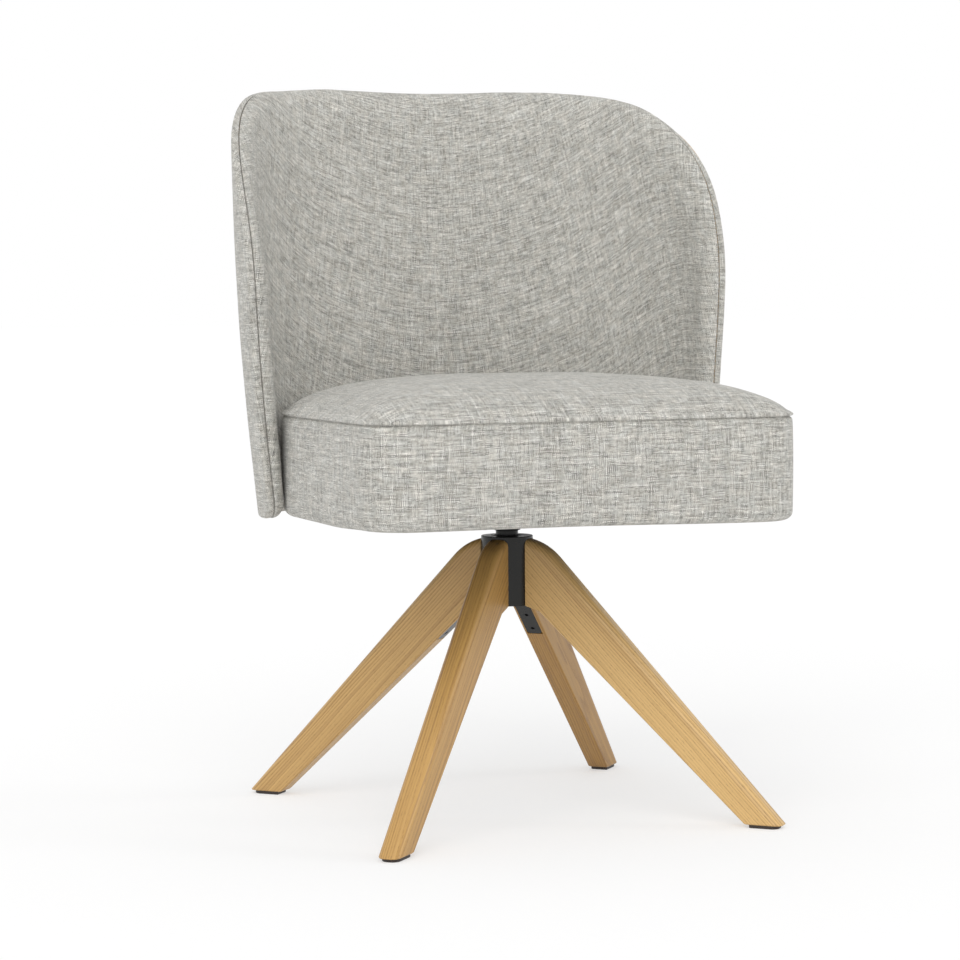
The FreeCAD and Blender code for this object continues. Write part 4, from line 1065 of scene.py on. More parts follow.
@dataclass
class SeatCushion:
    """Seat cover over its foam, with a sewn rim between the wall and the crowned top."""

    half_width: float = 253.5 * MM
    front: float = 259 * MM
    rear: float = 180 * MM
    front_round: float = 46 * MM
    rear_arc: float = 600 * MM
    side_end: float = 35 * MM
    bottom: float = 351 * MM
    seam: float = 463 * MM
    bottom_round: float = 9 * MM
    lip: float = 1.2 * MM
    wall_bulge: float = 0.6 * MM
    groove_reach: float = 5 * MM
    points_round: int = 264
    round_angles: tuple[int, ...] = (0, 15, 30, 45, 60, 75, 90)
    wall_rows: int = 14
    under_rows: tuple[tuple[float, float], ...] = (
        (60, 353.6), (24, 353.4), (22.4, 352.6), (22.0, 351.5), (20.5, 351.0), (14.0, 351.0))
    groove_rows: tuple[tuple[float, float], ...] = (
        (0.3, -3.6), (1.0, -2.4), (2.2, -1.5), (3.0, -0.9))
    lip_rows: tuple[tuple[float, float, float], ...] = (
        (2.2, -0.3, 0.35), (0.9, 0.1, 0.8), (0.1, 1.2, 1.0), (0.1, 2.8, 1.0), (1.0, 4.2, 0.75),
        (2.6, 5.6, 0.35))
    edge_insets: tuple[float, ...] = (4.6, 7.0, 10.0, 13.0, 16.5, 20.5)
    crown_steps: tuple[float, float, float] = (25.0, 176.0, 8.0)
    crown_insets: tuple[float, ...] = (0, 13, 34, 68, 115, 175)
    crown_rises: tuple[float, ...] = (0, 14, 25, 34, 41, 45)
    underside_sag: float = 1.2 * MM
    sag_end: float = 60 * MM
    sag_fade: float = 40 * MM
    front_droop: float = 3.4 * MM
    side_droop: float = 3.0 * MM
    front_hang: tuple[float, ...] = (-60 * MM, 230 * MM, -20 * MM, 80 * MM)
    side_hang: tuple[float, ...] = (236 * MM, 250 * MM, -220 * MM, -110 * MM, -80 * MM, -40 * MM)
    droop_fade: tuple[float, float] = (8 * MM, 20 * MM)
    swell_least: float = 0.30
    swell_width: float = 0.16
    swell_at_side: float = 0.55
    seam_hold: float = 2.6 * MM
    crown_dome: float = 0.8 * MM
    weave_start: tuple[float, float] = (1.7, 0.4)

    def outline(self, inset: float) -> tuple[np.ndarray, np.ndarray, float]:
        """Outline of the seat, drawn in by an inset.

        Args:
            inset: How far it is drawn in.

        Returns:
            The points, the distance of each along the outline and its whole length.
        """
        form = TubOutline(self.half_width - inset, self.front - inset, self.rear - inset,
                          max(self.front_round - 0.12 * inset, 1 * MM), self.rear_arc - inset,
                          self.side_end - 0.45 * inset)
        return form.points(self.points_round)

    def corner_share(self, outline: np.ndarray) -> np.ndarray:
        """How strongly the sewn rim stands out: most at the front corners.

        Args:
            outline: Points of the outline.

        Returns:
            A share for each point.
        """
        from_side = np.abs(outline[:, 0]) / self.half_width
        to_front = np.clip(-outline[:, 1] / self.front, 0.0, 1.0)
        corner = np.exp(-(((1 - from_side) / self.swell_width) ** 2))
        corner = corner * (self.swell_at_side + (1 - self.swell_at_side) * to_front)
        return self.swell_least + (1 - self.swell_least) * corner

    def droop(self, outline: np.ndarray) -> np.ndarray:
        """How far the lower edge hangs: towards the front right corner and along the left side.

        Args:
            outline: Points of the outline.

        Returns:
            A length for each point.
        """
        x, y = outline.T
        hang = self.front_hang
        front = self.front_droop * soft_step(x, *hang[:2]) * soft_step(-y, *hang[2:])
        hang = self.side_hang
        side = self.side_droop * soft_step(-x, *hang[:2]) * soft_step(
            y, *hang[2:4]) * soft_step(-y, *hang[4:])
        return np.maximum(front, side)

    def ring_plan(self) -> list[tuple[float, float, float, str]]:
        """Section of the cover from underneath to the crown.

        Returns:
            Rows of inset, height, share of the lip's swell and the name of the weave band.
        """
        rows: list[tuple[float, float, float, str]] = []
        for inset, height in self.under_rows:
            rows.append((inset * MM, height * MM, 0.0, "under"))
        radius = self.bottom_round
        for degrees in self.round_angles:
            a = math.radians(degrees)
            rows.append((radius * (1 - math.sin(a)), self.bottom + radius * (1 - math.cos(a)),
                         0.0, "wall"))
        wall_low, wall_high = self.bottom + radius, self.seam - self.groove_reach
        for share in np.linspace(0.0, 1.0, self.wall_rows)[1:]:
            bulge = self.wall_bulge * math.sin(math.pi * share) ** 0.8 if share < 1 else 0.0
            rows.append((-bulge, wall_low + share * (wall_high - wall_low), 0.0, "wall"))
        for inset, rise in self.groove_rows:
            rows.append((inset * MM, self.seam + rise * MM, 0.0, "wall"))
        for inset, rise, swell in self.lip_rows:
            rows.append((inset * MM, self.seam + rise * MM, swell, "top"))
        insets = np.concatenate([self.edge_insets, np.arange(*self.crown_steps)])
        rises = eased_curve(insets, self.crown_insets, self.crown_rises)
        for inset, rise in zip(insets, rises):
            rows.append((inset * MM, self.seam + rise * MM, 0.0, "top"))
        return rows

    def build(self) -> tuple[bpy.types.Object, np.ndarray]:
        """Make the cover as one closed mesh.

        Returns:
            The cover and, for each point, how firmly a seam holds it.
        """
        ring_mesh = RingMesh("upholstered_seat")
        rows = self.ring_plan()
        base, along, whole = self.outline(0.0)
        share = self.corner_share(base)
        normal = base - self.outline(1 * MM)[0]
        normal /= np.linalg.norm(normal, axis=1, keepdims=True)
        sag = self.underside_sag * soft_step(-base[:, 1], -self.sag_end, self.front - self.sag_end)
        droop = self.droop(base)
        travelled, last = 0.0, rows[0]
        for number, (inset, height, swell, band) in enumerate(rows):
            flat, _, _ = self.outline(inset)
            place = flat + normal * (swell * self.lip * share)[:, None]
            low = 1 - soft_step(np.array(height), self.bottom, self.bottom + self.sag_fade)
            outer = 1 - soft_step(np.array(inset), *self.droop_fade)
            points = np.column_stack([place, height - (sag + outer * droop) * low])
            travelled += math.hypot(inset - last[0], height - last[1])
            last = (inset, height)
            wall = np.column_stack([np.append(along, whole), np.full(len(along) + 1, travelled)])
            top = np.vstack([place, place[:1]]) + self.weave_start
            after = wall if band == "wall" else top
            new_band = number > 0 and rows[number - 1][3] != band
            before = after if not new_band else (top if band == "wall" else wall)
            held = band == "under" or height < self.bottom + self.bottom_round
            firm = 1.0 if held or abs(height - self.seam) < self.seam_hold else 0.0
            ring_mesh.add(points, before, after, firm)
        first, end = self.outline(rows[0][0])[0], self.outline(rows[-1][0])[0]

        def level(height: float, dome: float) -> Placer:
            """Placer of a nearly level patch.

            Args:
                height: The patch's height.
                dome: How far its middle rises.

            Returns:
                The placer.
            """
            return lambda flat, central: (
                np.column_stack([flat, height + dome * central]), flat + self.weave_start)

        return ring_mesh.build(first, end, level(rows[0][1], 0.0),
                               level(rows[-1][1], self.crown_dome))


@dataclass
class TubForm:
    """Curved form of the back: a plan outline that changes with height."""

    heights: tuple[float, ...] = (330 * MM, 450 * MM, 600 * MM, 720 * MM, 860 * MM)
    half_widths: tuple[float, ...] = (277 * MM, 289.5 * MM, 300 * MM, 303.5 * MM, 304 * MM)
    rears: tuple[float, ...] = (208 * MM, 220.7 * MM, 236.5 * MM, 249.1 * MM, 263.8 * MM)
    rear_arc: float = 660 * MM
    side_end: float = 50 * MM
    front: float = 30 * MM
    bottom: float = 345 * MM
    top: float = 846 * MM
    corner: float = 245 * MM
    lower_round: float = 24 * MM
    rim_places: tuple[float, ...] = (-0.36, -0.31, -0.278, -0.24, -0.20, -0.14, -0.08, -0.02,
                                     0.04, 0.12, 0.22, 0.278, 0.314, 0.347, 0.375, 0.41)
    rim_rises: tuple[float, ...] = (0, 4.2, 6.4, 4.7, 2.8, 4.3, 2.4, 1.6,
                                    3.0, 6.0, 6.4, 5.0, 0, -3.0, -3.0, 0)
    rim_fade: tuple[float, float] = (620 * MM, 800 * MM)
    fine: int = 400
    curve_middle: float = 0.6
    curve_half: float = 0.26

    def __post_init__(self) -> None:
        """Fit the smooth curves that run through the named heights."""
        scaled = (np.array(self.heights) - self.curve_middle) / self.curve_half
        self.width_curve = np.polyfit(scaled, self.half_widths, 4)
        self.rear_curve = np.polyfit(scaled, self.rears, 4)

    def plan(self, z: np.ndarray) -> tuple[np.ndarray, ...]:
        """Plan of the form at each height.

        Args:
            z: The heights.

        Returns:
            Half width, rear, corner radius, the angle where the arcs meet, and the distances
            from the middle of the rear to where the corner starts and ends.
        """
        scaled = (z - self.curve_middle) / self.curve_half
        w, rear = np.polyval(self.width_curve, scaled), np.polyval(self.rear_curve, scaled)
        to_centre = self.side_end - rear + self.rear_arc
        r1 = (self.rear_arc**2 - w**2 - to_centre**2) / (2.0 * (self.rear_arc - w))
        meet = np.arctan2(to_centre, w - r1)
        rear_length = self.rear_arc * (math.pi / 2 - meet)
        return w, rear, r1, meet, rear_length, rear_length + r1 * meet

    def along_at(self, y: np.ndarray, z: np.ndarray) -> np.ndarray:
        """Distance round the form from the middle of the rear to where it passes y.

        Args:
            y: Places in the side view.
            z: Their heights.

        Returns:
            The distances.
        """
        _, rear, r1, meet, _, to_side = self.plan(z)
        corner_y = self.side_end + r1 * np.sin(meet)
        on_corner = to_side - r1 * np.arcsin(np.clip((y - self.side_end) / r1, 0, 1))
        centre = rear - self.rear_arc
        ratio = np.clip((y - centre) / self.rear_arc, -1, 1)
        on_rear = self.rear_arc * (math.pi / 2 - np.arcsin(ratio))
        return np.where(y < self.side_end, to_side + self.side_end - y,
                        np.where(y < corner_y, on_corner, on_rear))

    def point(self, s: np.ndarray, z: np.ndarray, depth: np.ndarray) -> np.ndarray:
        """Point at a distance round, a height and a depth under the outer face.

        Args:
            s: Signed distance round the form, positive to the right.
            z: Height.
            depth: Depth inwards, level.

        Returns:
            The points, one row each.
        """
        w, rear, r1, _, rear_length, to_side = self.plan(z)
        a = np.abs(s)
        rear_angle = math.pi / 2 - a / self.rear_arc
        corner_angle = (to_side - a) / r1
        centre = rear - self.rear_arc
        inner = self.rear_arc - depth
        x = np.select([a < rear_length, a < to_side],
                      [inner * np.cos(rear_angle), w - r1 + (r1 - depth) * np.cos(corner_angle)],
                      w - depth)
        y = np.select([a < rear_length, a < to_side],
                      [centre + inner * np.sin(rear_angle),
                       self.side_end + (r1 - depth) * np.sin(corner_angle)],
                      self.side_end - (a - to_side))
        rise = eased_curve(s, self.rim_places, self.rim_rises) * soft_step(z, *self.rim_fade)
        return np.stack([np.where(s < 0, -x, x), y, z + MM * rise], axis=-1)

    def border(self, count: int) -> np.ndarray:
        """Even points of the form's outline in distance round and height, anticlockwise.

        Args:
            count: How many points, an even number.

        Returns:
            Rows of signed distance round and height, from the middle of the lower edge.
        """
        fine = self.fine
        low_y = np.linspace(self.rear_at(self.bottom), self.front + self.lower_round, fine)
        low = np.column_stack([low_y, np.full(fine, self.bottom)])
        turn = np.linspace(-math.pi / 2, -math.pi, 60)[1:]
        lower = np.column_stack([
            self.front + self.lower_round + self.lower_round * np.cos(turn),
            self.bottom + self.lower_round + self.lower_round * np.sin(turn)])
        rise = np.linspace(self.bottom + self.lower_round, self.top - self.corner, fine)[1:]
        side = np.column_stack([np.full(len(rise), self.front), rise])
        sweep = np.linspace(math.pi, math.pi / 2, 4 * fine)[1:]
        upper = np.column_stack([self.front + self.corner + self.corner * np.cos(sweep),
                                 self.top - self.corner + self.corner * np.sin(sweep)])
        upper = upper[upper[:, 0] < self.rear_at(upper[:, 1])]
        view = np.vstack([low, lower, side, upper])
        s = self.along_at(view[:, 0], view[:, 1])
        s[0] = 0.0
        half = np.column_stack([s, view[:, 1]])
        half = np.vstack([half, [[0.0, half[-1, 1]]]])
        step = np.linalg.norm(np.diff(half, axis=0), axis=1)
        travelled = np.concatenate([[0.0], np.cumsum(step)])
        at = np.linspace(0.0, travelled[-1], count // 2 + 1)
        right = np.column_stack([np.interp(at, travelled, half[:, 0]),
                                 np.interp(at, travelled, half[:, 1])])
        left = right[1:-1][::-1] * np.array([[-1.0, 1.0]])
        return np.vstack([right, left])

    def rear_at(self, z: "float | np.ndarray") -> "float | np.ndarray":
        """Rearmost reach at a height."""
        return np.polyval(self.rear_curve, (np.asarray(z) - self.curve_middle) / self.curve_half)


def inward_normals(border: np.ndarray) -> np.ndarray:
    """Lightly smoothed unit normals of a closed border.

    Args:
        border: The border's points, anticlockwise.

    Returns:
        A vector for each point, pointing inside.
    """
    along = np.roll(border, -1, axis=0) - np.roll(border, 1, axis=0)
    normal = np.column_stack([-along[:, 1], along[:, 0]])
    for _ in range(2):
        normal = normal + 0.5 * (np.roll(normal, 1, axis=0) + np.roll(normal, -1, axis=0))
    return normal / np.linalg.norm(normal, axis=1, keepdims=True)


@dataclass
class WrapBack:
    """Upholstered back: an outer cover over the shell and a padded front, sewn together."""

    form: TubForm = field(default_factory=TubForm)
    seam_depth: float = 10 * MM
    thickness: float = 26 * MM
    pad_round: float = 20 * MM
    points_round: int = 360
    slope_knots: tuple[float, ...] = (0, 0.06, 0.14, 0.21, 0.27, 0.33, 0.37, 0.60)
    weft_slopes: tuple[float, ...] = (0, 0.17, 0.36, 0.50, 0.53, 0.25, 0.0, -0.08)
    warp_lean: float = 0.22
    lean_width: float = 120 * MM
    lean_height: float = 600 * MM
    seam_hold: float = 1.2 * MM
    hidden_inset: float = 4 * MM
    pad_start: tuple[tuple[float, float], ...] = ((2.2, 0.4), (1.0, 0.7))
    pad_angles: tuple[int, ...] = (8, 18, 30, 42, 54, 66, 78, 90)
    cover_start: tuple[tuple[float, float], ...] = ((2.6, -0.35), (1.2, -0.5))
    cover_angles: tuple[int, ...] = (65, 45, 22, 0, -22, -45, -65, -80)
    cover_turn: tuple[float, float] = (0.62, 0.97)
    cover_end: tuple[float, float] = (6.0 * MM, 10.0 * MM)
    pad_hidden: float = 0.5 * MM
    cover_hidden: float = 2.4 * MM

    def skin(self, name: str, section: Sequence[tuple[float, float]], face_depth: float,
             hidden_depth: float, curved: bool) -> tuple[bpy.types.Object, np.ndarray]:
        """A closed skin whose edge follows a section and whose face follows the form.

        Args:
            name: The piece's name.
            section: Rows of distance in from the border and depth, from the seam outwards.
            face_depth: Depth of the face between the edges.
            hidden_depth: Depth of the side that nobody sees.
            curved: True where the weave is drawn into a curve.

        Returns:
            The piece and, for each point, how firmly the seam holds it.
        """
        border = self.form.border(self.points_round)
        normal = inward_normals(border)
        mesh = RingMesh(name)

        def placer(depth: float) -> Placer:
            """Placer of points at one depth under the form.

            Args:
                depth: The depth.

            Returns:
                The placer.
            """
            return lambda flat, central: (
                self.form.point(flat[:, 0], flat[:, 1], np.full(len(flat), depth)),
                self.weave_plan(flat) if curved else flat)

        insets, depths = np.array(section).T
        lengths = np.hypot(np.diff(insets), np.diff(depths))[::-1]
        reach = insets[-1] - np.append(np.cumsum(lengths)[::-1], 0.0)
        hidden_edge = border + normal * (section[0][0] + self.hidden_inset)
        rows = [(hidden_edge, hidden_edge, hidden_depth, 1.0)]
        for (inset, depth), unrolled in zip(section, reach):
            firm = 1.0 if abs(depth - self.seam_depth) < self.seam_hold else 0.0
            rows.append((border + normal * inset, border + normal * unrolled, depth, firm))
        for flat, laid, depth, firm in rows:
            points, _ = placer(depth)(flat, flat)
            _, weave = placer(depth)(np.vstack([laid, laid[:1]]), laid)
            mesh.add(points, weave, weave, firm)
        return mesh.build(rows[0][0], rows[-1][0], placer(hidden_depth), placer(face_depth))

    def weave_plan(self, flat: np.ndarray) -> np.ndarray:
        """Weave coordinates of the pad, whose weft rises from the middle towards both wings.

        Args:
            flat: Rows of distance round the form and height.

        Returns:
            Rows of weave coordinates.
        """
        fine = np.linspace(0.0, self.slope_knots[-1], 400)
        slope = eased_curve(fine, self.slope_knots, self.weft_slopes)
        rise = np.concatenate([[0.0], np.cumsum(0.5 * (slope[1:] + slope[:-1]) * np.diff(fine))])
        lean = self.warp_lean * np.tanh(flat[:, 0] / self.lean_width)
        return np.column_stack([flat[:, 0] + lean * (flat[:, 1] - self.lean_height),
                                flat[:, 1] - np.interp(np.abs(flat[:, 0]), fine, rise)])

    def pad_section(self) -> list[tuple[float, float]]:
        """Rolled edge of the front pad, from the seam to its face.

        Returns:
            Rows of distance in from the border and depth.
        """
        swell = self.thickness - self.seam_depth
        rows = [(inset * MM, self.seam_depth + rise * MM) for inset, rise in self.pad_start]
        for degrees in self.pad_angles:
            a = math.radians(degrees)
            rows.append((self.pad_round * (1 - math.cos(a)), self.seam_depth + swell * math.sin(a)))
        return rows

    def cover_section(self) -> list[tuple[float, float]]:
        """Turned edge of the outer cover, from the seam round to the rear face.

        Returns:
            Rows of distance in from the border and depth.
        """
        half = self.seam_depth / 2
        inward, deep = self.cover_turn
        rows = [(inset * MM, self.seam_depth + rise * MM) for inset, rise in self.cover_start]
        for degrees in self.cover_angles:
            a = math.radians(degrees)
            rows.append((half * inward * (1 - math.cos(a)), half * (1 + deep * math.sin(a))))
        return rows + [(inset, 0.0) for inset in self.cover_end]

    def build_pad(self) -> tuple[bpy.types.Object, np.ndarray]:
        """Make the padded front."""
        return self.skin("padded_back_front", self.pad_section(), self.thickness,
                         self.seam_depth + self.pad_hidden, True)

    def build_cover(self) -> tuple[bpy.types.Object, np.ndarray]:
        """Make the outer cover."""
        return self.skin("back_rear_cover", self.cover_section(), 0.0, self.cover_hidden, False)


# Two of the pattern's waves: share, fineness along X, Y and Z, and how far the seed shifts it.
RIPPLE_WAVES = ((0.6, (1.9, 0.0, 3.7), 2.0), (0.5, (4.3, -2.2, 0.0), 3.0))


def ripple(piece: bpy.types.Object, size: float, depth: float, seed: float,
           free: np.ndarray) -> None:
    """Push a cover in and out along its normals by a slow even pattern.

    Args:
        piece: The cover.
        size: Length of the ripples.
        depth: Their depth.
        seed: Offset of the pattern.
        free: For each point, 1 where it may move and 0 where it is held.
    """
    normals = np.empty(len(piece.data.vertices) * 3, np.float64)
    piece.data.vertices.foreach_get("normal", normals)
    points = points_of(piece)
    q = points / size
    wave = (np.sin(2.1 * q[:, 0] + 1.3 * q[:, 2] + seed) * np.sin(1.7 * q[:, 1] - 0.9 * q[:, 2])
            + sum(share * np.sin(q @ np.array(direction) + turns * seed)
                  for share, direction, turns in RIPPLE_WAVES))
    set_points(piece, points + normals.reshape(-1, 3) * (depth * 0.5 * wave * free)[:, None])


@dataclass
class Upholstery:
    """The three padded pieces and how they are made soft."""

    seat: SeatCushion = field(default_factory=SeatCushion)
    back: WrapBack = field(default_factory=WrapBack)
    ripple_size: float = 60 * MM
    ripple_seed: float = 2.4

    def soften(self, piece: bpy.types.Object, pinned: np.ndarray, padding: PaddingPass,
               ripple_depth: float) -> None:
        """Puff, ripple and smooth one cover.

        Args:
            piece: The cover.
            pinned: How firmly a seam holds each point.
            padding: The cloth pass to run.
            ripple_depth: Depth of the slow ripples.
        """
        padding.run(piece, pinned)
        ripple(piece, self.ripple_size, ripple_depth, self.ripple_seed, 1.0 - pinned)
        outward(piece)
        subdivide(piece)
        smooth_faces(piece)

    def build(self, finishes: Finishes) -> None:
        """Make, dress and place the three covers.

        Args:
            finishes: The chair's finishes.
        """
        jobs = (
            (self.seat.build, PaddingPass(most=1.1 * MM), 0.4 * MM, "seat_cover", 0.9),
            (self.back.build_pad, PaddingPass(most=2.5 * MM), 0.4 * MM, "back_front_pad", 0.7),
            (self.back.build_cover, PaddingPass(most=1.2 * MM), 0.3 * MM, "back_outer_cover", 0.8),
        )
        for make, padding, depth, node, fill in jobs:
            piece, pinned = make()
            self.soften(piece, pinned, padding, depth)
            finished(piece, finishes.upholstery)
            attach(piece, RidingBody.SEAT.value)
            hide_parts(node)
            log.info("made %s with %d faces", piece.name, len(piece.data.polygons))


@dataclass
class Hardware:
    """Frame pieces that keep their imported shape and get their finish."""

    fall: float = 46.0

    def dress(self, finishes: Finishes) -> None:
        """Give every kept node its finish.

        Args:
            finishes: The chair's finishes.
        """
        groups = (
            (finishes.metal, ("hub_casting", "leg_spider_plate", "seat_plate",
                              "back_bracket_right", "back_bracket_left")),
            (finishes.spindle, ("swivel_spindle",)),
            (finishes.zinc, ("seat_board_inserts", "back_shell_inserts", "spindle_washer",
                             "spindle_retaining_ring")),
            (finishes.bush, ("upper_bush", "lower_bush", "thrust_washer")),
            (finishes.plywood, ("seat_board", "back_shell")),
            (finishes.foam, ("seat_foam",)),
            (finishes.glide, tuple("glide_" + leg for leg in LEG_ANGLES)),
        )
        for material, nodes in groups:
            for node in nodes:
                finished(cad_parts[node], material)
                log.info("dressed %s in %s", node, material.name)
        for board in OAK_BOARDS:
            oak = finishes.oak_for(board, LEG_ANGLES[board.leg], self.fall)
            finished(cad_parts["leg_" + board.leg], oak)
            log.info("dressed leg %s", board.leg)


def flat_ends(node: str) -> tuple[np.ndarray, np.ndarray]:
    """Head face and direction of every fastener in a packed group.

    Args:
        node: The group's node.

    Returns:
        The middle of each head's face, and the unit vector from head to tip.
    """
    work = bmesh.new()
    work.from_mesh(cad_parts[node].data)
    bmesh.ops.remove_doubles(work, verts=work.verts, dist=0.01 * MM)
    left, centres, aims = dict.fromkeys(work.faces), [], []
    while left:
        stack, island = [left.popitem()[0]], []
        while stack:
            face = stack.pop()
            island.append(face)
            for other in (other for edge in face.edges for other in edge.link_faces):
                if other in left:
                    del left[other]
                    stack.append(other)
        sums: dict[tuple[float, ...], list[bmesh.types.BMFace]] = {}
        for face in island:
            face.normal_update()
            sums.setdefault(tuple(round(v, 2) + 0.0 for v in face.normal), []).append(face)
        largest = max(sums.values(), key=lambda faces: sum(f.calc_area() for f in faces))
        axis = np.array(largest[0].normal)
        spots = np.array([vert.co for face in island for vert in face.verts])
        height = spots @ axis
        ends = [spots[np.abs(height - level) < 0.05 * MM]
                for level in (height.max(), height.min())]
        head = int(np.ptp(ends[1], axis=0).max() > np.ptp(ends[0], axis=0).max())
        centres.append(0.5 * (ends[head].max(axis=0) + ends[head].min(axis=0)))
        aims.append(axis if head else -axis)
    work.free()
    order = sorted(range(len(centres)), key=lambda n: tuple(round(v, 4) for v in centres[n]))
    return (np.array([centres[n] for n in order], float), np.array([aims[n] for n in order], float))


@dataclass
class Fasteners:
    """Screws and bolts with driven heads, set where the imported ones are."""

    head_radius: float = 4.4 * MM
    head_depth: float = 2.4 * MM
    shank_radius: float = 2.2 * MM
    recess_share: float = 0.5
    recess_depth: float = 1.6 * MM
    lobes: int = 6
    lobe_swell: float = 0.14
    chamfer_share: float = 0.9
    head_sides: int = 24
    shank_sides: int = 16
    screw_lengths: tuple[tuple[str, float], ...] = (
        ("leg_screws", 22 * MM), ("hub_screws", 16 * MM), ("glide_screws", 18 * MM))
    bolts: tuple[tuple[str, float, float, float, float], ...] = (
        ("seat_plate_bolts", 13 * MM, 5.3 * MM, 4 * MM, 18 * MM),
        ("bracket_bolts", 10 * MM, 4 * MM, 3 * MM, 10.5 * MM))

    def shank(self, bench: GeometryBench, start: Socket) -> Socket:
        """Plain shank under a head.

        Args:
            bench: The fastener's bench.
            start: How far under the head's face it starts.

        Returns:
            The shank's mesh.
        """
        length = bench.math("SUBTRACT", bench.given["Length"], start)
        bar = bench.add("GeometryNodeMeshCylinder", {
            "Vertices": self.shank_sides, "Radius": bench.given["Shank Radius"],
            "Depth": length}).outputs[0]
        lift = bench.math("ADD", start, bench.math("MULTIPLY", length, 0.5))
        return bench.add("GeometryNodeTransform", {
            "Geometry": bar, "Translation": bench.combine(0.0, 0.0, lift)}).outputs[0]

    def place(self, bench: GeometryBench, shape: Socket) -> None:
        """Set a fastener on every guide point, turned along its direction.

        Args:
            bench: The fastener's bench.
            shape: Its mesh, with the head's face at the origin.
        """
        turn = bench.add("FunctionNodeAlignRotationToVector", {
            "Vector": bench.attribute("aim")}, axis="Z").outputs[0]
        bench.close(bench.add("GeometryNodeInstanceOnPoints", {
            "Points": bench.given["Guide"], "Instance": shape, "Rotation": turn}).outputs[0])

    def screw_tree(self) -> GeometryBench:
        """Countersunk screw with a lobed recess.

        Returns:
            The bench with its tree.
        """
        bench = GeometryBench("countersunk_screw", (
            "Head Radius", "Head Depth", "Shank Radius", "Length", "Recess Share",
            "Recess Depth"))
        given = bench.given
        head = bench.add("GeometryNodeMeshCone", {
            "Vertices": self.head_sides, "Radius Top": given["Shank Radius"],
            "Radius Bottom": given["Head Radius"], "Depth": given["Head Depth"]}).outputs[0]
        mesh, inside = bench.inner_ring(head, given["Recess Share"])
        x, y, z = bench.split(bench.add("GeometryNodeInputPosition", {}).outputs[0])
        around = bench.math("MULTIPLY", bench.math("ARCTAN2", y, x), self.lobes)
        lobe = bench.math("MULTIPLY_ADD", bench.math("COSINE", around), self.lobe_swell, 1.0)
        mesh = bench.moved(mesh, inside, bench.combine(
            bench.math("MULTIPLY", x, lobe), bench.math("MULTIPLY", y, lobe), z))
        sunk = bench.add("GeometryNodeExtrudeMesh", {
            "Mesh": mesh, "Selection": inside, "Individual": False,
            "Offset Scale": bench.math("MULTIPLY", given["Recess Depth"], -1.0)}, mode="FACES")
        self.place(bench, bench.joined(sunk.outputs["Mesh"], self.shank(bench, given["Head Depth"])))
        return bench

    def bolt_tree(self) -> GeometryBench:
        """Hexagon bolt with a chamfered head.

        Returns:
            The bench with its tree.
        """
        bench = GeometryBench("hexagon_bolt", ("Flats", "Head Depth", "Shank Radius", "Length"))
        given = bench.given
        half = bench.math("MULTIPLY", given["Flats"], 0.5)
        head = bench.add("GeometryNodeMeshCylinder", {
            "Vertices": self.head_sides, "Radius": half, "Depth": given["Head Depth"]}).outputs[0]
        head = bench.add("GeometryNodeTransform", {"Geometry": head, "Translation": bench.combine(
            0.0, 0.0, bench.math("MULTIPLY", given["Head Depth"], 0.5))}).outputs[0]
        mesh, inside = bench.inner_ring(head, self.chamfer_share)
        rim = bench.math("SUBTRACT", 1.0, inside)
        x, y, z = bench.split(bench.add("GeometryNodeInputPosition", {}).outputs[0])
        sixth = bench.math("FLOORED_MODULO", bench.math("ARCTAN2", y, x), math.pi / 3)
        corner = bench.math("DIVIDE", 1.0, bench.math("COSINE", bench.math(
            "SUBTRACT", sixth, math.pi / 6)))
        drop = bench.math("MULTIPLY", half, bench.math("MULTIPLY", bench.math(
            "SUBTRACT", corner, self.chamfer_share), 0.5))
        outer = bench.math("LESS_THAN", z, 0.1 * MM)
        mesh = bench.moved(mesh, rim, bench.combine(
            bench.math("MULTIPLY", x, corner), bench.math("MULTIPLY", y, corner),
            bench.math("MULTIPLY_ADD", drop, outer, z)))
        self.place(bench, bench.joined(mesh, self.shank(bench, given["Head Depth"])))
        return bench

    def build(self, finishes: Finishes) -> None:
        """Make and place every screw and bolt.

        Args:
            finishes: The chair's finishes.
        """
        screw, bolt = self.screw_tree(), self.bolt_tree()
        jobs = [(node, screw, {
            "Head Radius": self.head_radius, "Head Depth": self.head_depth,
            "Shank Radius": self.shank_radius, "Length": length,
            "Recess Share": self.recess_share, "Recess Depth": self.recess_depth},
            RidingBody.BASE) for node, length in self.screw_lengths]
        jobs += [(node, bolt, {"Flats": flats, "Head Depth": head, "Shank Radius": radius,
                               "Length": head + length}, RidingBody.SEAT)
                 for node, flats, head, radius, length in self.bolts]
        for node, tree, sizes, body in jobs:
            centres, aims = flat_ends(node)
            guide = guide_mesh("driven_" + node, centres, {"aim": aims})
            piece = tree.run(guide, sizes, finishes.screw)
            outward(piece)
            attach(piece, body.value)
            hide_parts(node)
            log.info("made %s, %d fasteners", piece.name, len(centres))


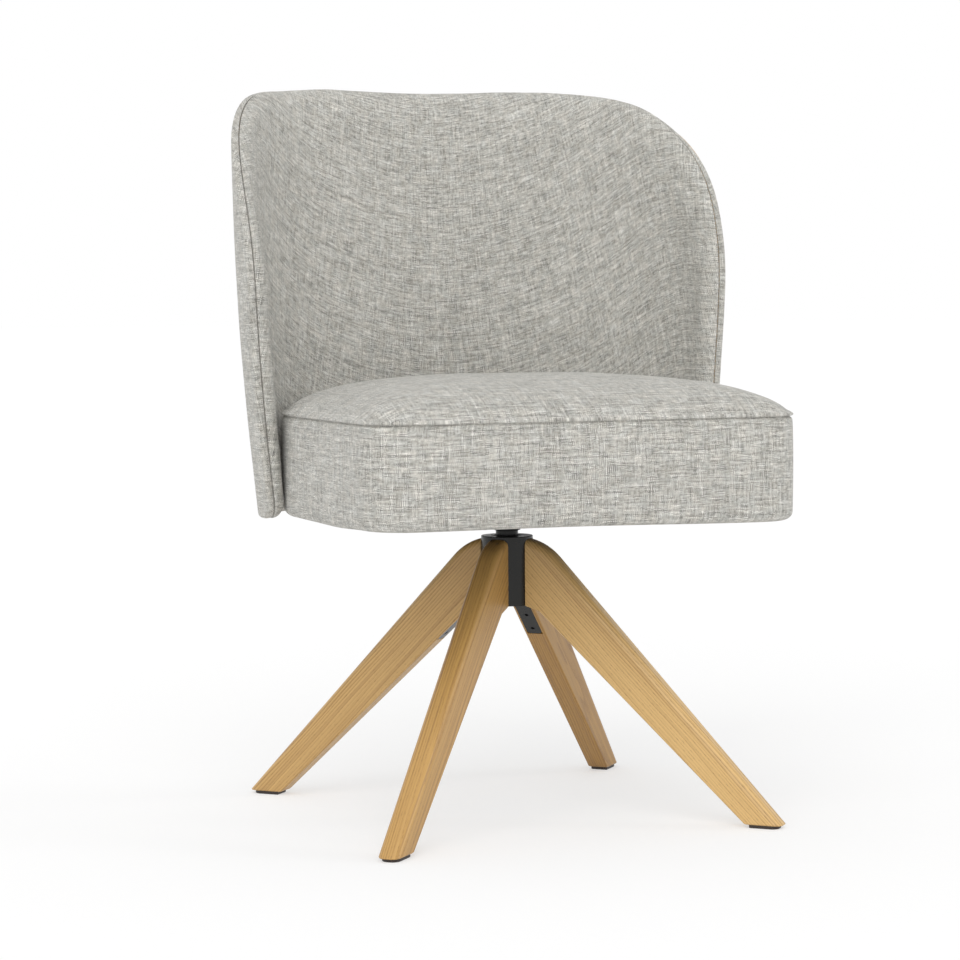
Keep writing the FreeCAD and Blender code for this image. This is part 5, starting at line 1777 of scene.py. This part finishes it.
@dataclass
class PathRow:
    """Staples or stitches: a wire with two bent ends, repeated along a closed path."""

    wire_radius: float
    span: float
    depth: float
    spacing: float
    wire_sides: int = 5

    def tree(self) -> GeometryBench:
        """Tree that bends one wire and repeats it along the guide.

        Returns:
            The bench with its tree.
        """
        bench = GeometryBench("row_along_path", ("Wire Radius", "Span", "Depth", "Spacing"))
        given = bench.given
        line = bench.add("GeometryNodeMeshLine", {"Count": 4}).outputs[0]
        index = bench.add("GeometryNodeInputIndex", {}).outputs[0]
        side = bench.math("SUBTRACT", bench.math("GREATER_THAN", index, 1.5), 0.5)
        ends = bench.math("GREATER_THAN", bench.math(
            "ABSOLUTE", bench.math("SUBTRACT", index, 1.5)), 1.0)
        wire = bench.moved(line, True, bench.combine(
            bench.math("MULTIPLY", side, given["Span"]), 0.0,
            bench.math("MULTIPLY", ends, bench.math("MULTIPLY", given["Depth"], -1.0))))
        wire = bench.add("GeometryNodeMeshToCurve", {0: wire}).outputs[0]
        wire = bench.add("GeometryNodeFilletCurve", {
            "Curve": wire, "Count": 2, "Radius": given["Wire Radius"]}, mode="POLY").outputs[0]
        circle = bench.add("GeometryNodeCurvePrimitiveCircle", {
            "Resolution": self.wire_sides, "Radius": given["Wire Radius"]}).outputs[0]
        wire = bench.add("GeometryNodeCurveToMesh", {
            "Curve": wire, "Profile Curve": circle, "Fill Caps": True}).outputs[0]
        path = bench.add("GeometryNodeMeshToCurve", {0: given["Guide"]}).outputs[0]
        path = bench.add("GeometryNodeResampleCurve", {
            "Curve": path, "Length": given["Spacing"]}, mode="LENGTH").outputs[0]
        tangent = bench.add("GeometryNodeInputTangent", {}).outputs[0]
        turn = bench.add("FunctionNodeAxesToRotation", {
            0: bench.attribute("face"), 1: tangent}, primary_axis="Z", secondary_axis="X").outputs[0]
        bench.close(bench.add("GeometryNodeInstanceOnPoints", {
            "Points": path, "Instance": wire, "Rotation": turn}).outputs[0])
        return bench

    def run(self, name: str, path: np.ndarray, face: np.ndarray, body: RidingBody, slot: Slot,
            finish: bpy.types.Material) -> None:
        """Make one row.

        Args:
            name: The row's name.
            path: Points of its closed path.
            face: For each point, the direction in which the wire's back looks.
            body: What it rides on.
            slot: The record's slot of its finish; not used.
            finish: Its material.
        """
        guide = guide_mesh(name, path, {"face": face}, loop=True)
        piece = self.tree().run(guide, {
            "Wire Radius": self.wire_radius, "Span": self.span, "Depth": self.depth,
            "Spacing": self.spacing}, finish)
        outward(piece)
        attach(piece, body.value)
        log.info("made %s with %d faces", piece.name, len(piece.data.polygons))


@dataclass
class Seams:
    """Ladder stitches that close the seat's rim and join the back's two covers."""

    upholstery: "Upholstery"
    row: PathRow = field(default_factory=lambda: PathRow(0.3 * MM, 3.2 * MM, 1.0 * MM, 6 * MM))
    seat_inset: float = 2.75 * MM
    back_inset: float = 2.3 * MM
    path_points: int = 720

    def build(self, finishes: Finishes) -> None:
        """Make both rows of stitches.

        Args:
            finishes: The chair's finishes.
        """
        seat, back = self.upholstery.seat, self.upholstery.back
        plan, inner = seat.outline(self.seat_inset)[0], seat.outline(self.seat_inset + MM)[0]
        path = np.column_stack([plan, np.full(len(plan), seat.seam - 0.6 * MM)])
        face = np.column_stack([plan - inner, np.zeros(len(plan))]) / MM
        jobs = [("seat_rim_stitches", path, face)]
        border = back.form.border(self.path_points)
        normal = inward_normals(border)
        edges = [border + normal * inset for inset in (self.back_inset, self.back_inset + MM)]
        path, inner = (back.form.point(edge[:, 0], edge[:, 1], np.full(len(edge), back.seam_depth))
                       for edge in edges)
        jobs.append(("back_edge_stitches", path, (path - inner) / MM))
        for name, points, directions in jobs:
            self.row.run(name, points, directions, RidingBody.SEAT, Slot.UPHOLSTERY,
                         finishes.thread)


@dataclass
class DustCloth:
    """Black cloth stretched under the seat board, hemmed and stapled."""

    seat: "SeatCushion"
    inset: float = 22.3 * MM
    low: float = 351.1 * MM
    high: float = 352.4 * MM
    hem: float = 9 * MM
    hem_rise: float = 0.45 * MM
    slack: float = 0.22 * MM
    fold_round: float = 0.4 * MM
    wave_lengths: tuple[float, float] = (11 * MM, 17 * MM)
    staple_sink: float = 0.35 * MM
    staples: PathRow = field(default_factory=lambda: PathRow(0.4 * MM, 9 * MM, 0.9 * MM, 31 * MM))

    def build(self, finishes: Finishes) -> None:
        """Make the cloth and its staples.

        Args:
            finishes: The chair's finishes.
        """
        mesh = RingMesh("stretched_dust_cloth")
        field_level = self.low + self.hem_rise
        rows = [(self.hem, self.high), (0.6 * MM, self.high), (0.0, self.high - self.fold_round),
                (0.0, self.low + self.fold_round), (0.5 * MM, self.low), (self.hem - 1 * MM, self.low),
                (self.hem, self.low + 0.12 * MM), (self.hem + 0.7 * MM, field_level)]
        for inset, height in rows:
            flat = self.seat.outline(self.inset + inset)[0]
            weave = np.vstack([flat, flat[:1]])
            mesh.add(np.column_stack([flat, np.full(len(flat), height)]), weave, weave, 1.0)

        def placer(height: float, slack: float) -> Placer:
            """Placer of cloth that hangs a little between its edges.

            Args:
                height: The edges' height.
                slack: How far the middle hangs.

            Returns:
                The placer.
            """
            def place(flat: np.ndarray, central: np.ndarray) -> tuple[np.ndarray, np.ndarray]:
                """Points and weave coordinates of plan points."""
                wave = np.prod(np.sin(flat / np.array(self.wave_lengths)), axis=1)
                return np.column_stack([flat, height - slack * central * (0.6 + 0.4 * wave)]), flat

            return place

        first, last = (self.seat.outline(self.inset + rows[end][0])[0] for end in (0, -1))
        piece, _ = mesh.build(first, last, placer(self.high, 0.0), placer(field_level, self.slack))
        outward(piece)
        smooth_faces(piece, 40.0)
        finished(piece, finishes.dust_cloth)
        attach(piece, RidingBody.SEAT.value)
        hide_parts("seat_dust_cover")
        plan = self.seat.outline(self.inset)[0]
        middle = self.seat.outline(self.inset + 0.5 * self.hem)[0]
        path = np.column_stack([middle, np.full(len(middle), self.low - self.staple_sink)])
        down = np.tile([0.0, 0.0, -1.0], (len(path), 1))
        self.staples.run("dust_cloth_staples", path, down, RidingBody.SEAT, Slot.ZINC,
                         finishes.zinc)


@dataclass(frozen=True)
class Camera:
    """Camera at the photograph's place, fitted to feet, hub, legs and seat."""

    azimuth: float = -22.2395
    distance: float = 3.2244
    height: float = 0.5926
    focal_pixels: float = 2792.8
    centre_pixel: float = 506.59
    pitch: float = 3.6867
    roll: float = -0.3455
    picture: int = 960
    sensor: float = 36.0

    def build(self) -> None:
        """Place the camera and make it the scene's own."""
        a, p, r = (math.radians(v) for v in (self.azimuth, self.pitch, self.roll))
        level = Vector((math.cos(a), math.sin(a), 0.0))
        forward = Vector((-math.sin(a) * math.cos(p), math.cos(a) * math.cos(p), -math.sin(p)))
        upright = level.cross(forward)
        right = level * math.cos(r) + upright * math.sin(r)
        up = upright * math.cos(r) - level * math.sin(r)
        data = bpy.data.cameras.new("photo_camera")
        data.sensor_width = self.sensor
        data.lens = self.focal_pixels * self.sensor / self.picture
        data.shift_x = (self.picture / 2 - self.centre_pixel) / self.picture
        camera = bpy.data.objects.new("photo_camera", data)
        turn = Matrix((right, up, -forward)).transposed().to_4x4()
        place = Matrix.Translation((math.sin(a) * self.distance, -math.cos(a) * self.distance,
                                    self.height))
        camera.matrix_world = place @ turn
        bpy.context.scene.collection.objects.link(camera)
        bpy.context.scene.camera = camera


@dataclass(frozen=True)
class SoftSun:
    """A wide, even light from one direction."""

    name: str
    azimuth: float
    elevation: float
    width: float
    strength: float

    def build(self) -> None:
        """Make the light."""
        data = bpy.data.lights.new(self.name, "SUN")
        data.angle = math.radians(self.width)
        data.energy = self.strength
        lamp = bpy.data.objects.new(self.name, data)
        lamp.rotation_euler = (math.radians(90 - self.elevation), 0.0, math.radians(self.azimuth))
        bpy.context.scene.collection.objects.link(lamp)


@dataclass
class Studio:
    """White floor, soft even light and a white surround."""

    floor_half: float = 60.0
    floor_colour: Colour = (0.995, 0.995, 0.995)
    floor_glow: float = 0.50
    ambient: float = 0.74
    suns: tuple[SoftSun, ...] = (
        SoftSun("front", -32.0, 38.0, 60.0, 1.30),
        SoftSun("side", 68.0, 20.0, 14.0, 0.35),
    )

    def seen_share(self, bench: NodeBench, most: float) -> Socket:
        """Share that camera, glossy and transmission rays see as plain white.

        Args:
            bench: The bench of the material or world.
            most: The share.

        Returns:
            The share for those rays and 0 for the rest.
        """
        path = bench.tree.nodes.new("ShaderNodeLightPath").outputs
        sight = bench.math("MAXIMUM", path["Is Camera Ray"], path["Is Glossy Ray"])
        sight = bench.math("MAXIMUM", sight, path["Is Transmission Ray"])
        return bench.math("MULTIPLY", sight, most)

    def floor(self) -> None:
        """Make the floor, which is left out of the chair's bodies."""
        work = bmesh.new()
        bmesh.ops.create_grid(work, x_segments=1, y_segments=1, size=self.floor_half)
        mesh = bpy.data.meshes.new("studio_floor")
        work.to_mesh(mesh)
        work.free()
        floor = linked("studio_floor", mesh)
        bench = ShaderBench("studio_floor")
        bench.set(base_color=self.floor_colour, roughness=0.9, specular_ior_level=0.0)
        white = bench.add("ShaderNodeEmission", {"Color": (1, 1, 1, 1), "Strength": 1.0})
        mixed = bench.add("ShaderNodeMixShader", {
            0: self.seen_share(bench, self.floor_glow), 1: bench.shader.outputs[0],
            2: white.outputs[0]})
        bench.tree.links.new(mixed.outputs[0], bench.output.inputs["Surface"])
        finished(floor, bench.material)

    def surround(self) -> None:
        """White world to the camera and in reflections, soft light to the rest."""
        world = bpy.data.worlds.new("studio_surround")
        bpy.context.scene.world = world
        world.use_nodes = True
        bench = NodeBench()
        bench.tree = world.node_tree
        bench.tree.nodes.clear()
        light, seen = (bench.add("ShaderNodeBackground", {
            "Color": (1, 1, 1, 1), "Strength": strength}) for strength in (self.ambient, 1.0))
        mixed = bench.add("ShaderNodeMixShader", {
            0: self.seen_share(bench, 1.0), 1: light.outputs[0], 2: seen.outputs[0]})
        bench.add("ShaderNodeOutputWorld", {"Surface": mixed.outputs[0]})

    def build(self) -> None:
        """Make floor, lights and surround, and set the plain view."""
        self.floor()
        self.surround()
        for sun in self.suns:
            sun.build()
        bpy.context.scene.view_settings.view_transform = "Standard"


def main() -> None:
    """Build the chair's looks in order and report each piece."""
    logging.basicConfig(level=logging.INFO, format="%(name)s: %(message)s")
    Camera().build()
    finishes = Finishes()
    Hardware().dress(finishes)
    upholstery = Upholstery()
    upholstery.build(finishes)
    Fasteners().build(finishes)
    DustCloth(upholstery.seat).build(finishes)
    Seams(upholstery).build(finishes)
    Studio().build()


if __name__ == "__main__":
    main()
